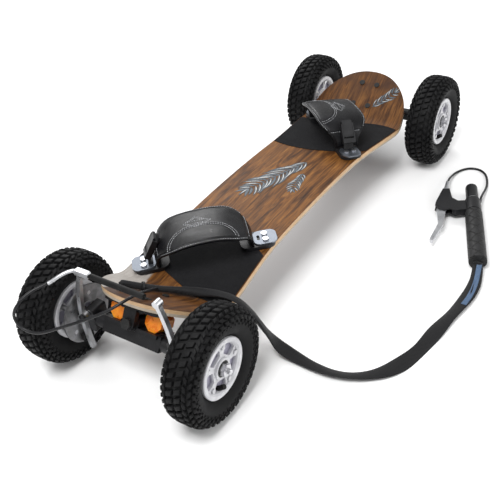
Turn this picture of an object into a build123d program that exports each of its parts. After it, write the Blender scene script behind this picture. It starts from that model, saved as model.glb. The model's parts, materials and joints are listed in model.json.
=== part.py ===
"""All-terrain skateboard with a hand-lever cable brake, as an assembly of separate pieces.

Frame: origin on the floor midway between the axles, +X to the nose, +Y to the left, +Z up. Millimetres.
"""
import os
from math import acos, asin, cos, degrees, pi, radians, sin, tan

from build123d import *

# ---------------------------------------------------------------- driving dimensions
WHEELBASE = 876.0
TRACK = 299.0  # between the mid-planes of the left and right tyres

TYRE_RADIUS = 100.0
TYRE_WIDTH = 62.0
TYRE_WALL = 6.0
TUBE_WALL = 2.0
TUBE_GAP = 0.4

HUB_FLANGE_RADIUS = 51.5
HUB_BARREL_RADIUS = 44.5
HUB_BARREL_WALL = 3.2
HUB_HALF_WIDTH = 22.6
HUB_FLANGE_WIDTH = 5.0
HUB_WEB = 9.0
HUB_POCKET_FLOOR = 2.5
HUB_WEB_INSET = 5.0
HUB_BOSS_RADIUS = 18.0
SPOKES = 5
SPOKE_PHASE = 5.0
SPOKE_WIDTH = 9.0
HUB_BOLT_CIRCLE = 36.5
HUB_BOLT_RADIUS = 2.5
HUB_BOLT_HEAD_RADIUS = 4.0
HUB_BOLT_HEAD = 3.0
VALVE_RADIUS = 4.2

BEARING_RADIUS = 14.0
BEARING_WIDTH = 8.0
AXLE_RADIUS = 6.0
RUNNING_FIT = 0.05
FACE_GAP = 0.3

ROTOR_RADIUS = 52.0
ROTOR_THICKNESS = 4.0
ROTOR_OFFSET = 43.5  # brake face, inboard of the wheel's mid-plane
ROTOR_CENTRE_HOLE = 22.0

DECK_CROWN = 136.3  # height of the top surface at mid-length
DECK_ARCH_RADIUS = 2736.0
DECK_ARCH_HALF = 323.5  # half-length of the arched middle
DECK_BEND_RADIUS = 45.0
TIP_ANGLE = 31.8
DECK_HALF_LENGTH = 450.0
DECK_THICKNESS = 12.5
DECK_WAIST = 96.5  # half-width at mid-length
DECK_SHOULDER = 109.0  # greatest half-width
DECK_SHOULDER_X = 342.0
GRIP_THICKNESS = 1.0

TRUCK_X = 398.0  # middle of a truck's bolt pattern, along the board
TRUCK_BOLT_LENGTH = 56.0
TRUCK_BOLT_WIDTH = 36.0
TRUCK_BOLT_RADIUS = 3.0
BOLT_CLEARANCE = 0.3
BASEPLATE_THICKNESS = 6.0
BASEPLATE_LENGTH = 80.0
BASEPLATE_WIDTH = 112.0
PIVOT_DROP = 46.0  # pivot axis below the deck's top surface at the tip
PIVOT_BOLT_RADIUS = 5.0
LUG_GAP = 50.0  # between the inner faces of the two lugs
LUG_THICKNESS = 10.0
LUG_WIDTH = 24.0
HANGER_END_PLAY = 0.8
BUSH_RADIUS = 8.0
BUSH_PRESS_GAP = 0.02
HANGER_BOSS_RADIUS = 14.0
HANGER_TUBE_RADIUS = 13.0
HANGER_HALF_LENGTH = 98.0
AXLE_HEIGHT = 100.0
SHOCK_WIDTH = 32.0
SHOCK_Y = 36.0
SHOCK_DEPTH = 34.0
WING_THICKNESS = 6.0
NUT_RADIUS = 9.5
NUT_THICKNESS = 8.0
NUT_INSET = 1.6
AXLE_TAIL_RADIUS = 4.5  # turned-down end beyond each nut
AXLE_TAIL = 7.0
AXLE_CHAMFER = 1.0

BRACKET_Y = 86.0
BRACKET_WIDTH = 20.0
ARM_X = -456.0
ARM_THICKNESS = 8.0
ARM_WIDTH = 8.0
ARM_PIVOT_Y = 91.0
ARM_PIVOT_Z = 113.0
ARM_PIVOT_RADIUS = 4.0
ARM_TOP_Y = 78.0
ARM_TOP_Z = 201.5
ARM_FOOT_Y = 89.0
ARM_FOOT_Z = 46.0
ARM_BULGE_Y = 95.0
PAD_Z = 64.0
PAD_BACK_Y = 98.0
PAD_GAP = 0.8
LINK_Z = 209.5
NOODLE_RADIUS = 3.0
BOOT_RADIUS = 5.0
BOOT_HALF_LENGTH = 53.0

BINDING_X = 238.0
BINDING_SPAN = 200.0  # between the two plates of a binding
BINDING_ANGLE = 47.5  # strap line against the board's length
BASE_LENGTH = 62.0
BASE_WIDTH = 44.0
BASE_THICKNESS = 7.0
BASE_SHIFT = -6.0
PLATE_LENGTH = 42.0
PLATE_WIDTH = 38.0
PLATE_THICKNESS = 2.5
PLATE_SHIFT = 8.0
BINDING_BOLT_RADIUS = 2.9
BINDING_BOLT_SPACING = 16.0
PAD_THICKNESS = 12.0
PAD_INNER_HEIGHT = 56.0
PAD_HALF_SPAN = 78.0
PAD_WIDTH = 104.0
STRAP_WIDTH = 20.0
STRAP_THICKNESS = 3.0

HANDLE_HEADING = 22.6
HANDLE_END = (86.0, -387.0, 17.4)
HANDLE_TUBE_RADIUS = 11.1
HANDLE_LENGTH = 265.0
GRIP_RADIUS = 17.4
GRIP_START = 3.0
GRIP_END = 166.0
CLAMP_START = 168.0
CLAMP_END = 208.0
CLAMP_RADIUS = 16.6
CAP_RADIUS = 12.5
CAP_START = 212.0
LEVER_PIVOT = (176.0, 64.0)
LEVER_THICKNESS = 8.0
BRACKET_THICKNESS = 14.0
ADJUSTER_POINT = (250.0, 53.5)
ADJUSTER_LENGTH = 34.0

CABLE_RADIUS = 2.5
SLEEVE_RADIUS = 6.0

# Routes of the free cords, chosen by hand.
BRAKE_CABLE_ROUTE = [
    (-492.5, 116, 197.8), (-509, 126.5, 195.5), (-525, 133, 191), (-539, 138, 183), (-546, 145.5, 168.5),
    (-547, 147, 151.5), (-545, 138, 137.5), (-542, 120, 132.5), (-538, 101, 137), (-530, 77, 149),
    (-518, 50, 161), (-503, 24, 172), (-486, 1, 182.5), (-467, -13, 190), (-446, -20, 191.5),
    (-426, -20, 184), (-407, -16, 172), (-390, -10, 160), (-378, -6, 151),
]
SLEEVE_ROUTE = [
    (-412, 44, 169), (-396, 26, 159), (-376, 6, 146), (-353, -13, 133), (-337, -36, 127),
    (-329, -62, 128), (-325, -90, 133.5), (-320, -113, 130.5), (-314, -131, 116), (-307, -143, 93),
    (-299, -151, 67), (-291, -160, 42), (-286, -170, 23), (-283, -187, 11), (-284, -208, 6.6),
    (-288, -238, 6.2), (-288, -273, 6.2), (-277, -310, 6.2), (-253, -343, 6.2), (-219, -365, 6.2),
    (-178, -378, 6.2), (-136, -383, 6.2), (-92, -388, 6.2), (-48, -395, 6.2), (-8, -400, 6.4),
    (27, -401, 8.5), (58, -396, 13), (87.3, -386.6, 17.2),
]
HANDLE_CABLE_ROUTE = [
    (284.6, 48.6, 17.4), (305, 44.8, 14), (325, 38.5, 9), (346, 29, 5), (364, 13, 3), (372, -6, 2.7),
    (366, -25, 2.6), (348, -36, 2.6), (324, -38, 2.8), (297, -36, 4.5), (271, -30, 9), (248, -23, 13),
    (228, -18, 16.5), (208.7, -15.4, 17.4),
]

SOURCE_PARTS = "parts"
os.makedirs(SOURCE_PARTS, exist_ok=True)


def save(builder, label):
    """Label a finished piece and write it as one STEP file."""
    builder.part.label = label
    export_step(builder.part, os.path.join(SOURCE_PARTS, label + ".step"))


# ---------------------------------------------------------------- shared geometry
ARCH_ANGLE = degrees(asin(DECK_ARCH_HALF / DECK_ARCH_RADIUS))
ARCH_CENTRE_Z = DECK_CROWN - DECK_ARCH_RADIUS
ARCH_END_Z = ARCH_CENTRE_Z + DECK_ARCH_RADIUS * cos(radians(ARCH_ANGLE))
BEND_CENTRE_X = DECK_ARCH_HALF + DECK_BEND_RADIUS * sin(radians(ARCH_ANGLE))
BEND_CENTRE_Z = ARCH_END_Z + DECK_BEND_RADIUS * cos(radians(ARCH_ANGLE))
TIP_START_X = BEND_CENTRE_X + DECK_BEND_RADIUS * sin(radians(TIP_ANGLE))
TIP_START_Z = BEND_CENTRE_Z - DECK_BEND_RADIUS * cos(radians(TIP_ANGLE))


def tip_height(x):
    """Height of the deck's top surface on the straight part of a tip."""
    return TIP_START_Z + (abs(x) - TIP_START_X) * tan(radians(TIP_ANGLE))


def truck_plane(end):
    """Origin at the middle of the bolt pattern, local X up the tip, local Z out of the deck's top."""
    slope = radians(TIP_ANGLE)
    return Plane(
        origin=(end * TRUCK_X, 0, tip_height(TRUCK_X)),
        x_dir=(end * cos(slope), 0, sin(slope)),
        z_dir=(-end * sin(slope), 0, cos(slope)),
    )


def wheel_plane(end, side):
    """Origin at the wheel's centre, local Z along the axle, outward."""
    return Plane(
        origin=(end * WHEELBASE / 2, side * TRACK / 2, AXLE_HEIGHT),
        x_dir=(1, 0, 0),
        z_dir=(0, side, 0),
    )


def wheel_section(end, side):
    """Half-section plane of a wheel: local X is the radius, local Y runs outward along the axle."""
    return Plane(
        origin=(end * WHEELBASE / 2, side * TRACK / 2, AXLE_HEIGHT),
        x_dir=(1, 0, 0),
        z_dir=(0, 0, side),
    )


def wheel_axis(end, side):
    return Axis((end * WHEELBASE / 2, side * TRACK / 2, AXLE_HEIGHT), (0, side, 0))


def deck_plane(x, y, heading, height=0.0):
    """Plane tangent to the arched deck above (x, y), its local X turned to a heading in plan."""
    lean = asin(x / DECK_ARCH_RADIUS)
    normal = Vector(sin(lean), 0, cos(lean))
    z = ARCH_CENTRE_Z + DECK_ARCH_RADIUS * cos(lean)
    along = Vector(cos(radians(heading)), sin(radians(heading)), 0)
    along = along - normal * along.dot(normal)
    return Plane(origin=Vector(x, y, z) + normal * height, x_dir=along, z_dir=normal)


def handle_plane(height=0.0):
    """Origin at the handle's lower end on its axis, local X along the handle, local Y to the lever."""
    heading = radians(HANDLE_HEADING)
    x, y, z = HANDLE_END
    return Plane(origin=(x, y, z + height), x_dir=(cos(heading), sin(heading), 0), z_dir=(0, 0, 1))


def on_handle(along, across, z):
    """World point of a place given along and across the handle, at height z."""
    heading = radians(HANDLE_HEADING)
    x0, y0, _ = HANDLE_END
    return (
        x0 + along * cos(heading) - across * sin(heading),
        y0 + along * sin(heading) + across * cos(heading),
        z,
    )


def cross_plane(origin, direction):
    """Plane whose local Z runs along a direction."""
    return Plane(origin=origin, z_dir=direction)


def deck_lines(raise_by):
    """The deck's top line at a height above the top surface, from nose to tail, as tangent arcs."""
    arch = DECK_ARCH_RADIUS + raise_by
    bend = DECK_BEND_RADIUS - raise_by
    slope = radians(TIP_ANGLE)
    lean = radians(ARCH_ANGLE)
    crown = (0, ARCH_CENTRE_Z + arch)
    for end in (1, -1):
        knee = (end * arch * sin(lean), ARCH_CENTRE_Z + arch * cos(lean))
        mid_angle = (slope - lean) / 2
        bend_mid = (end * (BEND_CENTRE_X + bend * sin(mid_angle)), BEND_CENTRE_Z - bend * cos(mid_angle))
        foot = (end * (BEND_CENTRE_X + bend * sin(slope)), BEND_CENTRE_Z - bend * cos(slope))
        run = (DECK_HALF_LENGTH + 20 - end * foot[0]) / cos(slope)
        tip = (foot[0] + end * run * cos(slope), foot[1] + run * sin(slope))
        quarter = lean / 2
        arch_mid = (end * arch * sin(quarter), ARCH_CENTRE_Z + arch * cos(quarter))
        ThreePointArc(crown, arch_mid, knee)
        ThreePointArc(knee, bend_mid, foot)
        Line(foot, tip)


def deck_ends(low, high):
    """Both end faces of a layer between two heights."""
    slope = radians(TIP_ANGLE)
    for end in (1, -1):
        points = []
        for raise_by in (low, high):
            bend = DECK_BEND_RADIUS - raise_by
            foot_x = BEND_CENTRE_X + bend * sin(slope)
            foot_z = BEND_CENTRE_Z - bend * cos(slope)
            run = (DECK_HALF_LENGTH + 20 - foot_x) / cos(slope)
            points.append((end * (foot_x + run * cos(slope)), foot_z + run * sin(slope)))
        Line(points[0], points[1])


def deck_layer(low, high):
    """The bent layer between two heights above the top surface, wider than the deck."""
    with BuildPart() as layer:
        with BuildSketch(Plane.XZ):
            with BuildLine():
                deck_lines(low)
                deck_lines(high)
                deck_ends(low, high)
            make_face()
        extrude(amount=DECK_SHOULDER * 1.5, both=True)
    return layer.part


def deck_outline(inset=0.0):
    """Plan outline of the deck, as one closed face."""
    waist = DECK_WAIST - inset
    shoulder = DECK_SHOULDER - inset
    tip = DECK_HALF_LENGTH - inset
    flare_x = 140.0
    with BuildSketch() as outline:
        with BuildLine():
            for end in (1, -1):
                for side in (1, -1):
                    flare = (end * flare_x, side * waist)
                    widest = (end * DECK_SHOULDER_X, side * shoulder)
                    corner = (end * (tip - 30), side * shoulder * 0.70)
                    nose = (end * tip, 0)
                    Spline(flare, widest, tangents=[(end, 0), (end, 0)])
                    Spline(widest, corner, nose, tangents=[(end, 0), (0, -side)])
            for side in (1, -1):
                Line((-flare_x, side * waist), (flare_x, side * waist))
        make_face()
    return outline.sketch


BINDINGS = {}
for binding_name, binding_end in (("rear", -1), ("front", 1)):
    # Local X runs along the strap, from the fixed side to the ratchet side, which is the left at the
    # rear and the right at the front.
    strap_heading = 180 - BINDING_ANGLE if binding_end < 0 else 180 + BINDING_ANGLE
    BINDINGS[binding_name] = (binding_end * BINDING_X, strap_heading)


def binding_places():
    """The four plates: (x, y, heading of the plate's outer end)."""
    places = []
    for middle_x, heading in BINDINGS.values():
        reach = BINDING_SPAN / 2
        dx, dy = cos(radians(heading)), sin(radians(heading))
        places.append((middle_x - reach * dx, -reach * dy, heading + 180))
        places.append((middle_x + reach * dx, reach * dy, heading))
    return places


def binding_bolt_places():
    """Each binding bolt's place: (x, y, heading)."""
    places = []
    for x, y, heading in binding_places():
        dx, dy = cos(radians(heading)), sin(radians(heading))
        for side in (1, -1):
            offset = side * BINDING_BOLT_SPACING / 2
            places.append((x + PLATE_SHIFT * dx - offset * dy, y + PLATE_SHIFT * dy + offset * dx, heading))
    return places


def truck_bolt_grid():
    return GridLocations(TRUCK_BOLT_LENGTH, TRUCK_BOLT_WIDTH, 2, 2)


# ---------------------------------------------------------------- deck
def make_deck():
    with BuildPart() as deck:
        add(deck_layer(-DECK_THICKNESS, 0))
        extrude(deck_outline(), amount=400, mode=Mode.INTERSECT)
        for end in (1, -1):
            with BuildSketch(truck_plane(end)):
                with truck_bolt_grid():
                    Circle(TRUCK_BOLT_RADIUS + BOLT_CLEARANCE)
            extrude(amount=DECK_THICKNESS * 2, both=True, mode=Mode.SUBTRACT)
        for x, y, heading in binding_bolt_places():
            with BuildSketch(deck_plane(x, y, heading)):
                Circle(BINDING_BOLT_RADIUS + BOLT_CLEARANCE)
            extrude(amount=DECK_THICKNESS * 2, both=True, mode=Mode.SUBTRACT)
    save(deck, "deck")


def make_grip_tape():
    with BuildPart() as tape:
        add(deck_layer(0, GRIP_THICKNESS))
        extrude(deck_outline(inset=1.5), amount=400, mode=Mode.INTERSECT)
        with BuildSketch():
            for end in (1, -1):
                with BuildLine():
                    inner = Spline(
                        (end * 168, 130), (end * 153, 10), (end * 171, -45), (end * 226, -130)
                    )
                    outer = Spline(
                        (end * 298, 130), (end * 303, 45), (end * 329, -30), (end * 320, -130)
                    )
                    Line(inner @ 0, outer @ 0)
                    Line(inner @ 1, outer @ 1)
                make_face()
        extrude(amount=400, mode=Mode.INTERSECT)
        for x, y, heading in binding_bolt_places():
            with BuildSketch(deck_plane(x, y, heading)):
                Circle(BINDING_BOLT_RADIUS + BOLT_CLEARANCE)
            extrude(amount=DECK_THICKNESS, both=True, mode=Mode.SUBTRACT)
    save(tape, "grip_tape")


# ---------------------------------------------------------------- wheels
def make_tyre(name, end, side):
    bead = HUB_FLANGE_WIDTH
    half = TYRE_WIDTH / 2
    bead_y = HUB_HALF_WIDTH - bead - TUBE_GAP
    with BuildPart() as tyre:
        with BuildSketch(wheel_section(end, side)):
            with BuildLine():
                for s in (1, -1):
                    Polyline(
                        (HUB_BARREL_RADIUS + TUBE_GAP, s * (bead_y - TYRE_WALL)),
                        (HUB_BARREL_RADIUS + TUBE_GAP, s * bead_y),
                        (HUB_FLANGE_RADIUS + 1, s * bead_y),
                    )
                    Spline(
                        (HUB_FLANGE_RADIUS + 1, s * bead_y),
                        (TYRE_RADIUS - 26, s * half),
                        (TYRE_RADIUS - 8, s * (half - 3.5)),
                        (TYRE_RADIUS, s * half * 0.45),
                        tangents=[(0.4, s), (0, -s)],
                    )
                    Spline(
                        (HUB_BARREL_RADIUS + TUBE_GAP, s * (bead_y - TYRE_WALL)),
                        (TYRE_RADIUS - 26, s * (half - TYRE_WALL)),
                        (TYRE_RADIUS - 10, 0),
                        tangents=[(1, s * 0.6), (0, -s)],
                    )
                Line((TYRE_RADIUS, half * 0.45), (TYRE_RADIUS, -half * 0.45))
            make_face()
        revolve(axis=wheel_axis(end, side))
    save(tyre, name + "_tyre")


def valve_plane(end, side):
    """Local Z along the slanted valve stem, from inside the tyre to the outboard side."""
    base = wheel_plane(end, side)
    angle = radians(SPOKE_PHASE + 36 - 144)
    inner = Vector((HUB_BARREL_RADIUS + 9) * cos(angle), (HUB_BARREL_RADIUS + 9) * sin(angle), -8)
    outer = Vector(31 * cos(angle), 31 * sin(angle), 25)
    start = base.from_local_coords(inner)
    finish = base.from_local_coords(outer)
    return cross_plane(start, finish - start), (finish - start).length


def make_inner_tube(name, end, side):
    middle = TYRE_RADIUS - 33
    high = 20.5
    wide = 20.0
    with BuildPart() as tube:
        with BuildSketch(wheel_section(end, side)):
            with Locations((middle, 0)):
                Ellipse(high, wide)
                Ellipse(high - TUBE_WALL, wide - TUBE_WALL, mode=Mode.SUBTRACT)
        revolve(axis=wheel_axis(end, side))
        plane, length = valve_plane(end, side)
        with BuildSketch(plane):
            Circle(VALVE_RADIUS)
        extrude(amount=length)
    save(tube, name + "_inner_tube")


def make_hub_halves(name, end, side):
    with BuildPart() as hub:
        for s in (1, -1):
            outer = s * HUB_HALF_WIDTH
            web_out = s * (HUB_HALF_WIDTH - HUB_WEB_INSET)
            web_in = s * (HUB_HALF_WIDTH - HUB_WEB_INSET - HUB_WEB)
            split = s * 0.05
            barrel_in = HUB_BARREL_RADIUS - HUB_BARREL_WALL
            with BuildSketch(wheel_section(end, side)):
                with BuildLine():
                    Polyline(
                        (8, web_in - s * 4),
                        (HUB_BOSS_RADIUS, web_in - s * 4),
                        (HUB_BOSS_RADIUS, web_in),
                        (barrel_in, web_in),
                        (barrel_in, split),
                        (HUB_BARREL_RADIUS, split),
                        (HUB_BARREL_RADIUS, outer - s * HUB_FLANGE_WIDTH),
                        (HUB_FLANGE_RADIUS, outer - s * HUB_FLANGE_WIDTH),
                        (HUB_FLANGE_RADIUS, outer - s * 1.2),
                        (HUB_FLANGE_RADIUS - 1.2, outer),
                        (barrel_in + 3, outer),
                        (barrel_in, outer - s * 3),
                        (barrel_in, web_out),
                        (HUB_BOSS_RADIUS, web_out),
                        (HUB_BOSS_RADIUS, outer - s * 1.4),
                        (BEARING_RADIUS, outer - s * 1.4),
                        (BEARING_RADIUS, outer - s * (1.6 + BEARING_WIDTH)),
                        (8, outer - s * (1.6 + BEARING_WIDTH)),
                        close=True,
                    )
                make_face()
            revolve(axis=wheel_axis(end, side))
            plane = wheel_plane(end, side).offset(web_in)
            with BuildSketch(plane):
                with PolarLocations(HUB_BOLT_CIRCLE, SPOKES, start_angle=SPOKE_PHASE):
                    Circle(HUB_BOLT_HEAD_RADIUS + 1.5)
            extrude(amount=split - web_in)
        for s in (1, -1):
            floor = s * (HUB_HALF_WIDTH - HUB_WEB_INSET - HUB_WEB + HUB_POCKET_FLOOR)
            turns = [Rotation(0, 0, SPOKE_PHASE + (k + 0.5) * 360 / SPOKES) for k in range(SPOKES)]
            with BuildSketch(wheel_plane(end, side).offset(floor)):
                with Locations(*turns):
                    add(spoke_pocket())
            extrude(amount=s * HUB_HALF_WIDTH, mode=Mode.SUBTRACT)
        with BuildSketch(wheel_plane(end, side)):
            with PolarLocations(HUB_BOLT_CIRCLE, SPOKES, start_angle=SPOKE_PHASE):
                Circle(HUB_BOLT_RADIUS + BOLT_CLEARANCE / 2)
        extrude(amount=HUB_HALF_WIDTH + 1, both=True, mode=Mode.SUBTRACT)
        plane, length = valve_plane(end, side)
        with BuildSketch(plane):
            Circle(VALVE_RADIUS + BOLT_CLEARANCE)
        extrude(amount=length, mode=Mode.SUBTRACT)
    save(hub, name + "_hub_halves")


def spoke_pocket():
    """One pocket between two spokes, centred on local X and flaring towards the rim."""
    near, far = HUB_BOSS_RADIUS + 3.5, HUB_BARREL_RADIUS - HUB_BARREL_WALL - 0.8
    near_half = near * tan(pi / SPOKES) - SPOKE_WIDTH / 2 / cos(pi / SPOKES)
    far_angle = radians(21)
    with BuildSketch() as pocket:
        with BuildLine():
            top = (far * cos(far_angle), far * sin(far_angle))
            bottom = (top[0], -top[1])
            Line((near, near_half), (far * 0.72, far * 0.72 * tan(radians(25))))
            Line((far * 0.72, far * 0.72 * tan(radians(25))), top)
            ThreePointArc(top, (far, 0), bottom)
            Line(bottom, (far * 0.72, -far * 0.72 * tan(radians(25))))
            Line((far * 0.72, -far * 0.72 * tan(radians(25))), (near, -near_half))
            Line((near, -near_half), (near, near_half))
        make_face()
        fillet(pocket.vertices(), 1.8)
    return pocket.sketch


def make_bearings(name, end, side):
    with BuildPart() as bearings:
        for s in (1, -1):
            start = s * (HUB_HALF_WIDTH - 1.6 - BEARING_WIDTH)
            with BuildSketch(wheel_plane(end, side).offset(start)):
                Circle(BEARING_RADIUS - 0.02)
                Circle(AXLE_RADIUS, mode=Mode.SUBTRACT)
            extrude(amount=s * BEARING_WIDTH)
    save(bearings, name + "_bearings")


DISC_RECESS_FACE = -ROTOR_OFFSET + 2.2
HUB_BOLT_RECESS = 2.2


def make_hub_bolts(name, end, side):
    braked = end < 0
    web_face = HUB_HALF_WIDTH - HUB_WEB_INSET
    inner_face = DISC_RECESS_FACE if braked else -web_face
    nut = -(HUB_BOLT_RECESS - 0.2)
    with BuildPart() as bolts:
        with BuildSketch(wheel_plane(end, side).offset(web_face)):
            with PolarLocations(HUB_BOLT_CIRCLE, SPOKES, start_angle=SPOKE_PHASE):
                Circle(HUB_BOLT_HEAD_RADIUS)
        extrude(amount=HUB_BOLT_HEAD)
        with BuildSketch(wheel_plane(end, side).offset(web_face)):
            with PolarLocations(HUB_BOLT_CIRCLE, SPOKES, start_angle=SPOKE_PHASE):
                Circle(HUB_BOLT_RADIUS)
        extrude(amount=inner_face - web_face)
        with BuildSketch(wheel_plane(end, side).offset(inner_face)):
            with PolarLocations(HUB_BOLT_CIRCLE, SPOKES, start_angle=SPOKE_PHASE):
                RegularPolygon(HUB_BOLT_HEAD_RADIUS, 6)
        extrude(amount=nut)
    save(bolts, name + "_hub_bolts")


def make_rotor(name, end, side):
    inner_face = -(HUB_HALF_WIDTH - HUB_WEB_INSET)
    disc_out = -ROTOR_OFFSET + ROTOR_THICKNESS
    post = HUB_BOLT_HEAD_RADIUS + 0.4
    with BuildPart() as rotor:
        with BuildSketch(wheel_section(end, side)):
            with BuildLine():
                Polyline(
                    (ROTOR_CENTRE_HOLE, -ROTOR_OFFSET),
                    (ROTOR_RADIUS, -ROTOR_OFFSET),
                    (ROTOR_RADIUS, disc_out - 1.2),
                    (ROTOR_RADIUS - 1.2, disc_out),
                    (ROTOR_CENTRE_HOLE, disc_out),
                    close=True,
                )
            make_face()
        revolve(axis=wheel_axis(end, side))
        with BuildSketch(wheel_plane(end, side).offset(disc_out)):
            with PolarLocations(HUB_BOLT_CIRCLE, SPOKES, start_angle=SPOKE_PHASE):
                Circle(post)
        extrude(amount=inner_face - disc_out)
        with BuildSketch(wheel_plane(end, side).offset(-ROTOR_OFFSET)):
            with PolarLocations(HUB_BOLT_CIRCLE, SPOKES, start_angle=SPOKE_PHASE):
                Circle(HUB_BOLT_RADIUS + BOLT_CLEARANCE / 2)
        extrude(amount=inner_face + ROTOR_OFFSET, mode=Mode.SUBTRACT)
        with BuildSketch(wheel_plane(end, side).offset(-ROTOR_OFFSET)):
            with PolarLocations(HUB_BOLT_CIRCLE, SPOKES, start_angle=SPOKE_PHASE):
                Circle(HUB_BOLT_HEAD_RADIUS + 0.15)
        extrude(amount=HUB_BOLT_RECESS, mode=Mode.SUBTRACT)
    save(rotor, name + "_brake_disc")


# ---------------------------------------------------------------- trucks
def make_baseplate(name, end):
    top = -DECK_THICKNESS
    under = top - BASEPLATE_THICKNESS
    with BuildPart() as plate:
        with BuildSketch(truck_plane(end).offset(top)):
            RectangleRounded(BASEPLATE_LENGTH, BASEPLATE_WIDTH, 12)
        extrude(amount=-BASEPLATE_THICKNESS)
        lug_planes = truck_plane(end)
        for s in (1, -1):
            origin = lug_planes.from_local_coords((s * (LUG_GAP) / 2, 0, 0))
            lug = Plane(origin=origin, x_dir=lug_planes.y_dir, z_dir=lug_planes.x_dir)
            with BuildSketch(lug):
                with BuildLine():
                    half = LUG_WIDTH / 2
                    Line((-half, -PIVOT_DROP), (-half, under + 0.5))
                    Line((-half, under + 0.5), (half, under + 0.5))
                    Line((half, under + 0.5), (half, -PIVOT_DROP))
                    ThreePointArc((half, -PIVOT_DROP), (0, -PIVOT_DROP - half), (-half, -PIVOT_DROP))
                make_face()
                with Locations((0, -PIVOT_DROP)):
                    Circle(PIVOT_BOLT_RADIUS + BOLT_CLEARANCE / 2, mode=Mode.SUBTRACT)
            extrude(amount=s * LUG_THICKNESS)
        with BuildSketch(truck_plane(end)):
            with truck_bolt_grid():
                Circle(TRUCK_BOLT_RADIUS + BOLT_CLEARANCE)
        extrude(amount=-DECK_THICKNESS * 2, mode=Mode.SUBTRACT)
    save(plate, name + "_baseplate")


def pivot_plane(end):
    """Origin on the pivot axis at the truck's middle, local Z along the axis, up the tip."""
    base = truck_plane(end)
    origin = base.from_local_coords((0, 0, -PIVOT_DROP))
    return Plane(origin=origin, x_dir=base.y_dir, z_dir=base.x_dir)


def axle_plane(end):
    """Origin at the axle's middle, local Z along +Y, local X up the tip's slope."""
    slope = radians(TIP_ANGLE)
    return Plane(
        origin=(end * WHEELBASE / 2, 0, AXLE_HEIGHT),
        x_dir=(end * cos(slope), 0, sin(slope)),
        z_dir=(0, 1, 0),
    )


WING_TOP = -DECK_THICKNESS - BASEPLATE_THICKNESS - SHOCK_WIDTH - FACE_GAP
HANGER_CORE = LUG_GAP - 2 * HANGER_END_PLAY
LUG_OUTER = LUG_GAP / 2 + LUG_THICKNESS
BEARING_INNER_Y = TRACK / 2 - HUB_HALF_WIDTH + 1.6


def make_hanger(name, end):
    """Pivot boss, wings under the shock blocks, beam and axle tubes."""
    with BuildPart() as hanger:
        with BuildSketch(pivot_plane(end)):
            Circle(HANGER_BOSS_RADIUS)
        extrude(amount=HANGER_CORE / 2, both=True)
        with BuildSketch(truck_plane(end).offset(WING_TOP)):
            Rectangle(HANGER_CORE, 2 * SHOCK_Y + SHOCK_WIDTH)
        extrude(amount=-WING_THICKNESS)
        with BuildSketch(axle_plane(end)):
            Rectangle(2 * HANGER_TUBE_RADIUS, 2 * HANGER_TUBE_RADIUS)
        extrude(amount=SHOCK_Y + SHOCK_WIDTH / 2 + 6, both=True)
        with BuildSketch(axle_plane(end)):
            Circle(HANGER_TUBE_RADIUS)
        extrude(amount=HANGER_HALF_LENGTH, both=True)
        with BuildSketch(axle_plane(end)):
            Circle(AXLE_RADIUS + 3)
        extrude(amount=BEARING_INNER_Y - FACE_GAP, both=True)
        with BuildSketch(pivot_plane(end)):
            Circle(BUSH_RADIUS)
        extrude(amount=HANGER_CORE / 2, both=True, mode=Mode.SUBTRACT)
        with BuildSketch(axle_plane(end)):
            Circle(AXLE_RADIUS)
        extrude(amount=TRACK, both=True, mode=Mode.SUBTRACT)
    save(hanger, name + "_hanger")


def make_axle(name, end):
    nut_face = TRACK / 2 + HUB_HALF_WIDTH - NUT_INSET + FACE_GAP + NUT_THICKNESS
    with BuildPart() as axle:
        with BuildSketch(axle_plane(end)):
            Circle(AXLE_RADIUS - RUNNING_FIT)
        extrude(amount=nut_face, both=True)
        with BuildSketch(axle_plane(end)):
            Circle(AXLE_TAIL_RADIUS)
        extrude(amount=nut_face + AXLE_TAIL, both=True)
        ends = axle.edges().filter_by(GeomType.CIRCLE).sort_by(Axis.Y)
        chamfer([ends[0], ends[-1]], AXLE_CHAMFER)
    save(axle, name + "_axle")


def make_axle_nuts(name, end):
    start = TRACK / 2 + HUB_HALF_WIDTH - NUT_INSET + FACE_GAP
    with BuildPart() as nuts:
        for s in (1, -1):
            with BuildSketch(axle_plane(end).offset(s * start)):
                RegularPolygon(NUT_RADIUS, 6, major_radius=False)
                Circle(AXLE_RADIUS, mode=Mode.SUBTRACT)
            extrude(amount=s * NUT_THICKNESS)
    save(nuts, name + "_axle_nuts")


def make_shock_blocks(name, end):
    base = truck_plane(end)
    top = -DECK_THICKNESS - BASEPLATE_THICKNESS
    with BuildPart() as blocks:
        for s in (1, -1):
            origin = base.from_local_coords((0, s * SHOCK_Y, top - SHOCK_WIDTH / 2))
            with BuildSketch(Plane(origin=origin, x_dir=base.y_dir, z_dir=base.x_dir)):
                RegularPolygon(SHOCK_WIDTH / 2, 8, major_radius=False, rotation=22.5)
            extrude(amount=SHOCK_DEPTH / 2, both=True)
    save(blocks, name + "_shock_blocks")


def make_pivot_bushes():
    with BuildPart() as bushes:
        for end in (1, -1):
            with BuildSketch(pivot_plane(end)):
                Circle(BUSH_RADIUS - RUNNING_FIT)
                Circle(PIVOT_BOLT_RADIUS + BUSH_PRESS_GAP, mode=Mode.SUBTRACT)
            extrude(amount=HANGER_CORE / 2, both=True)
    save(bushes, "pivot_bushes")


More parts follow.
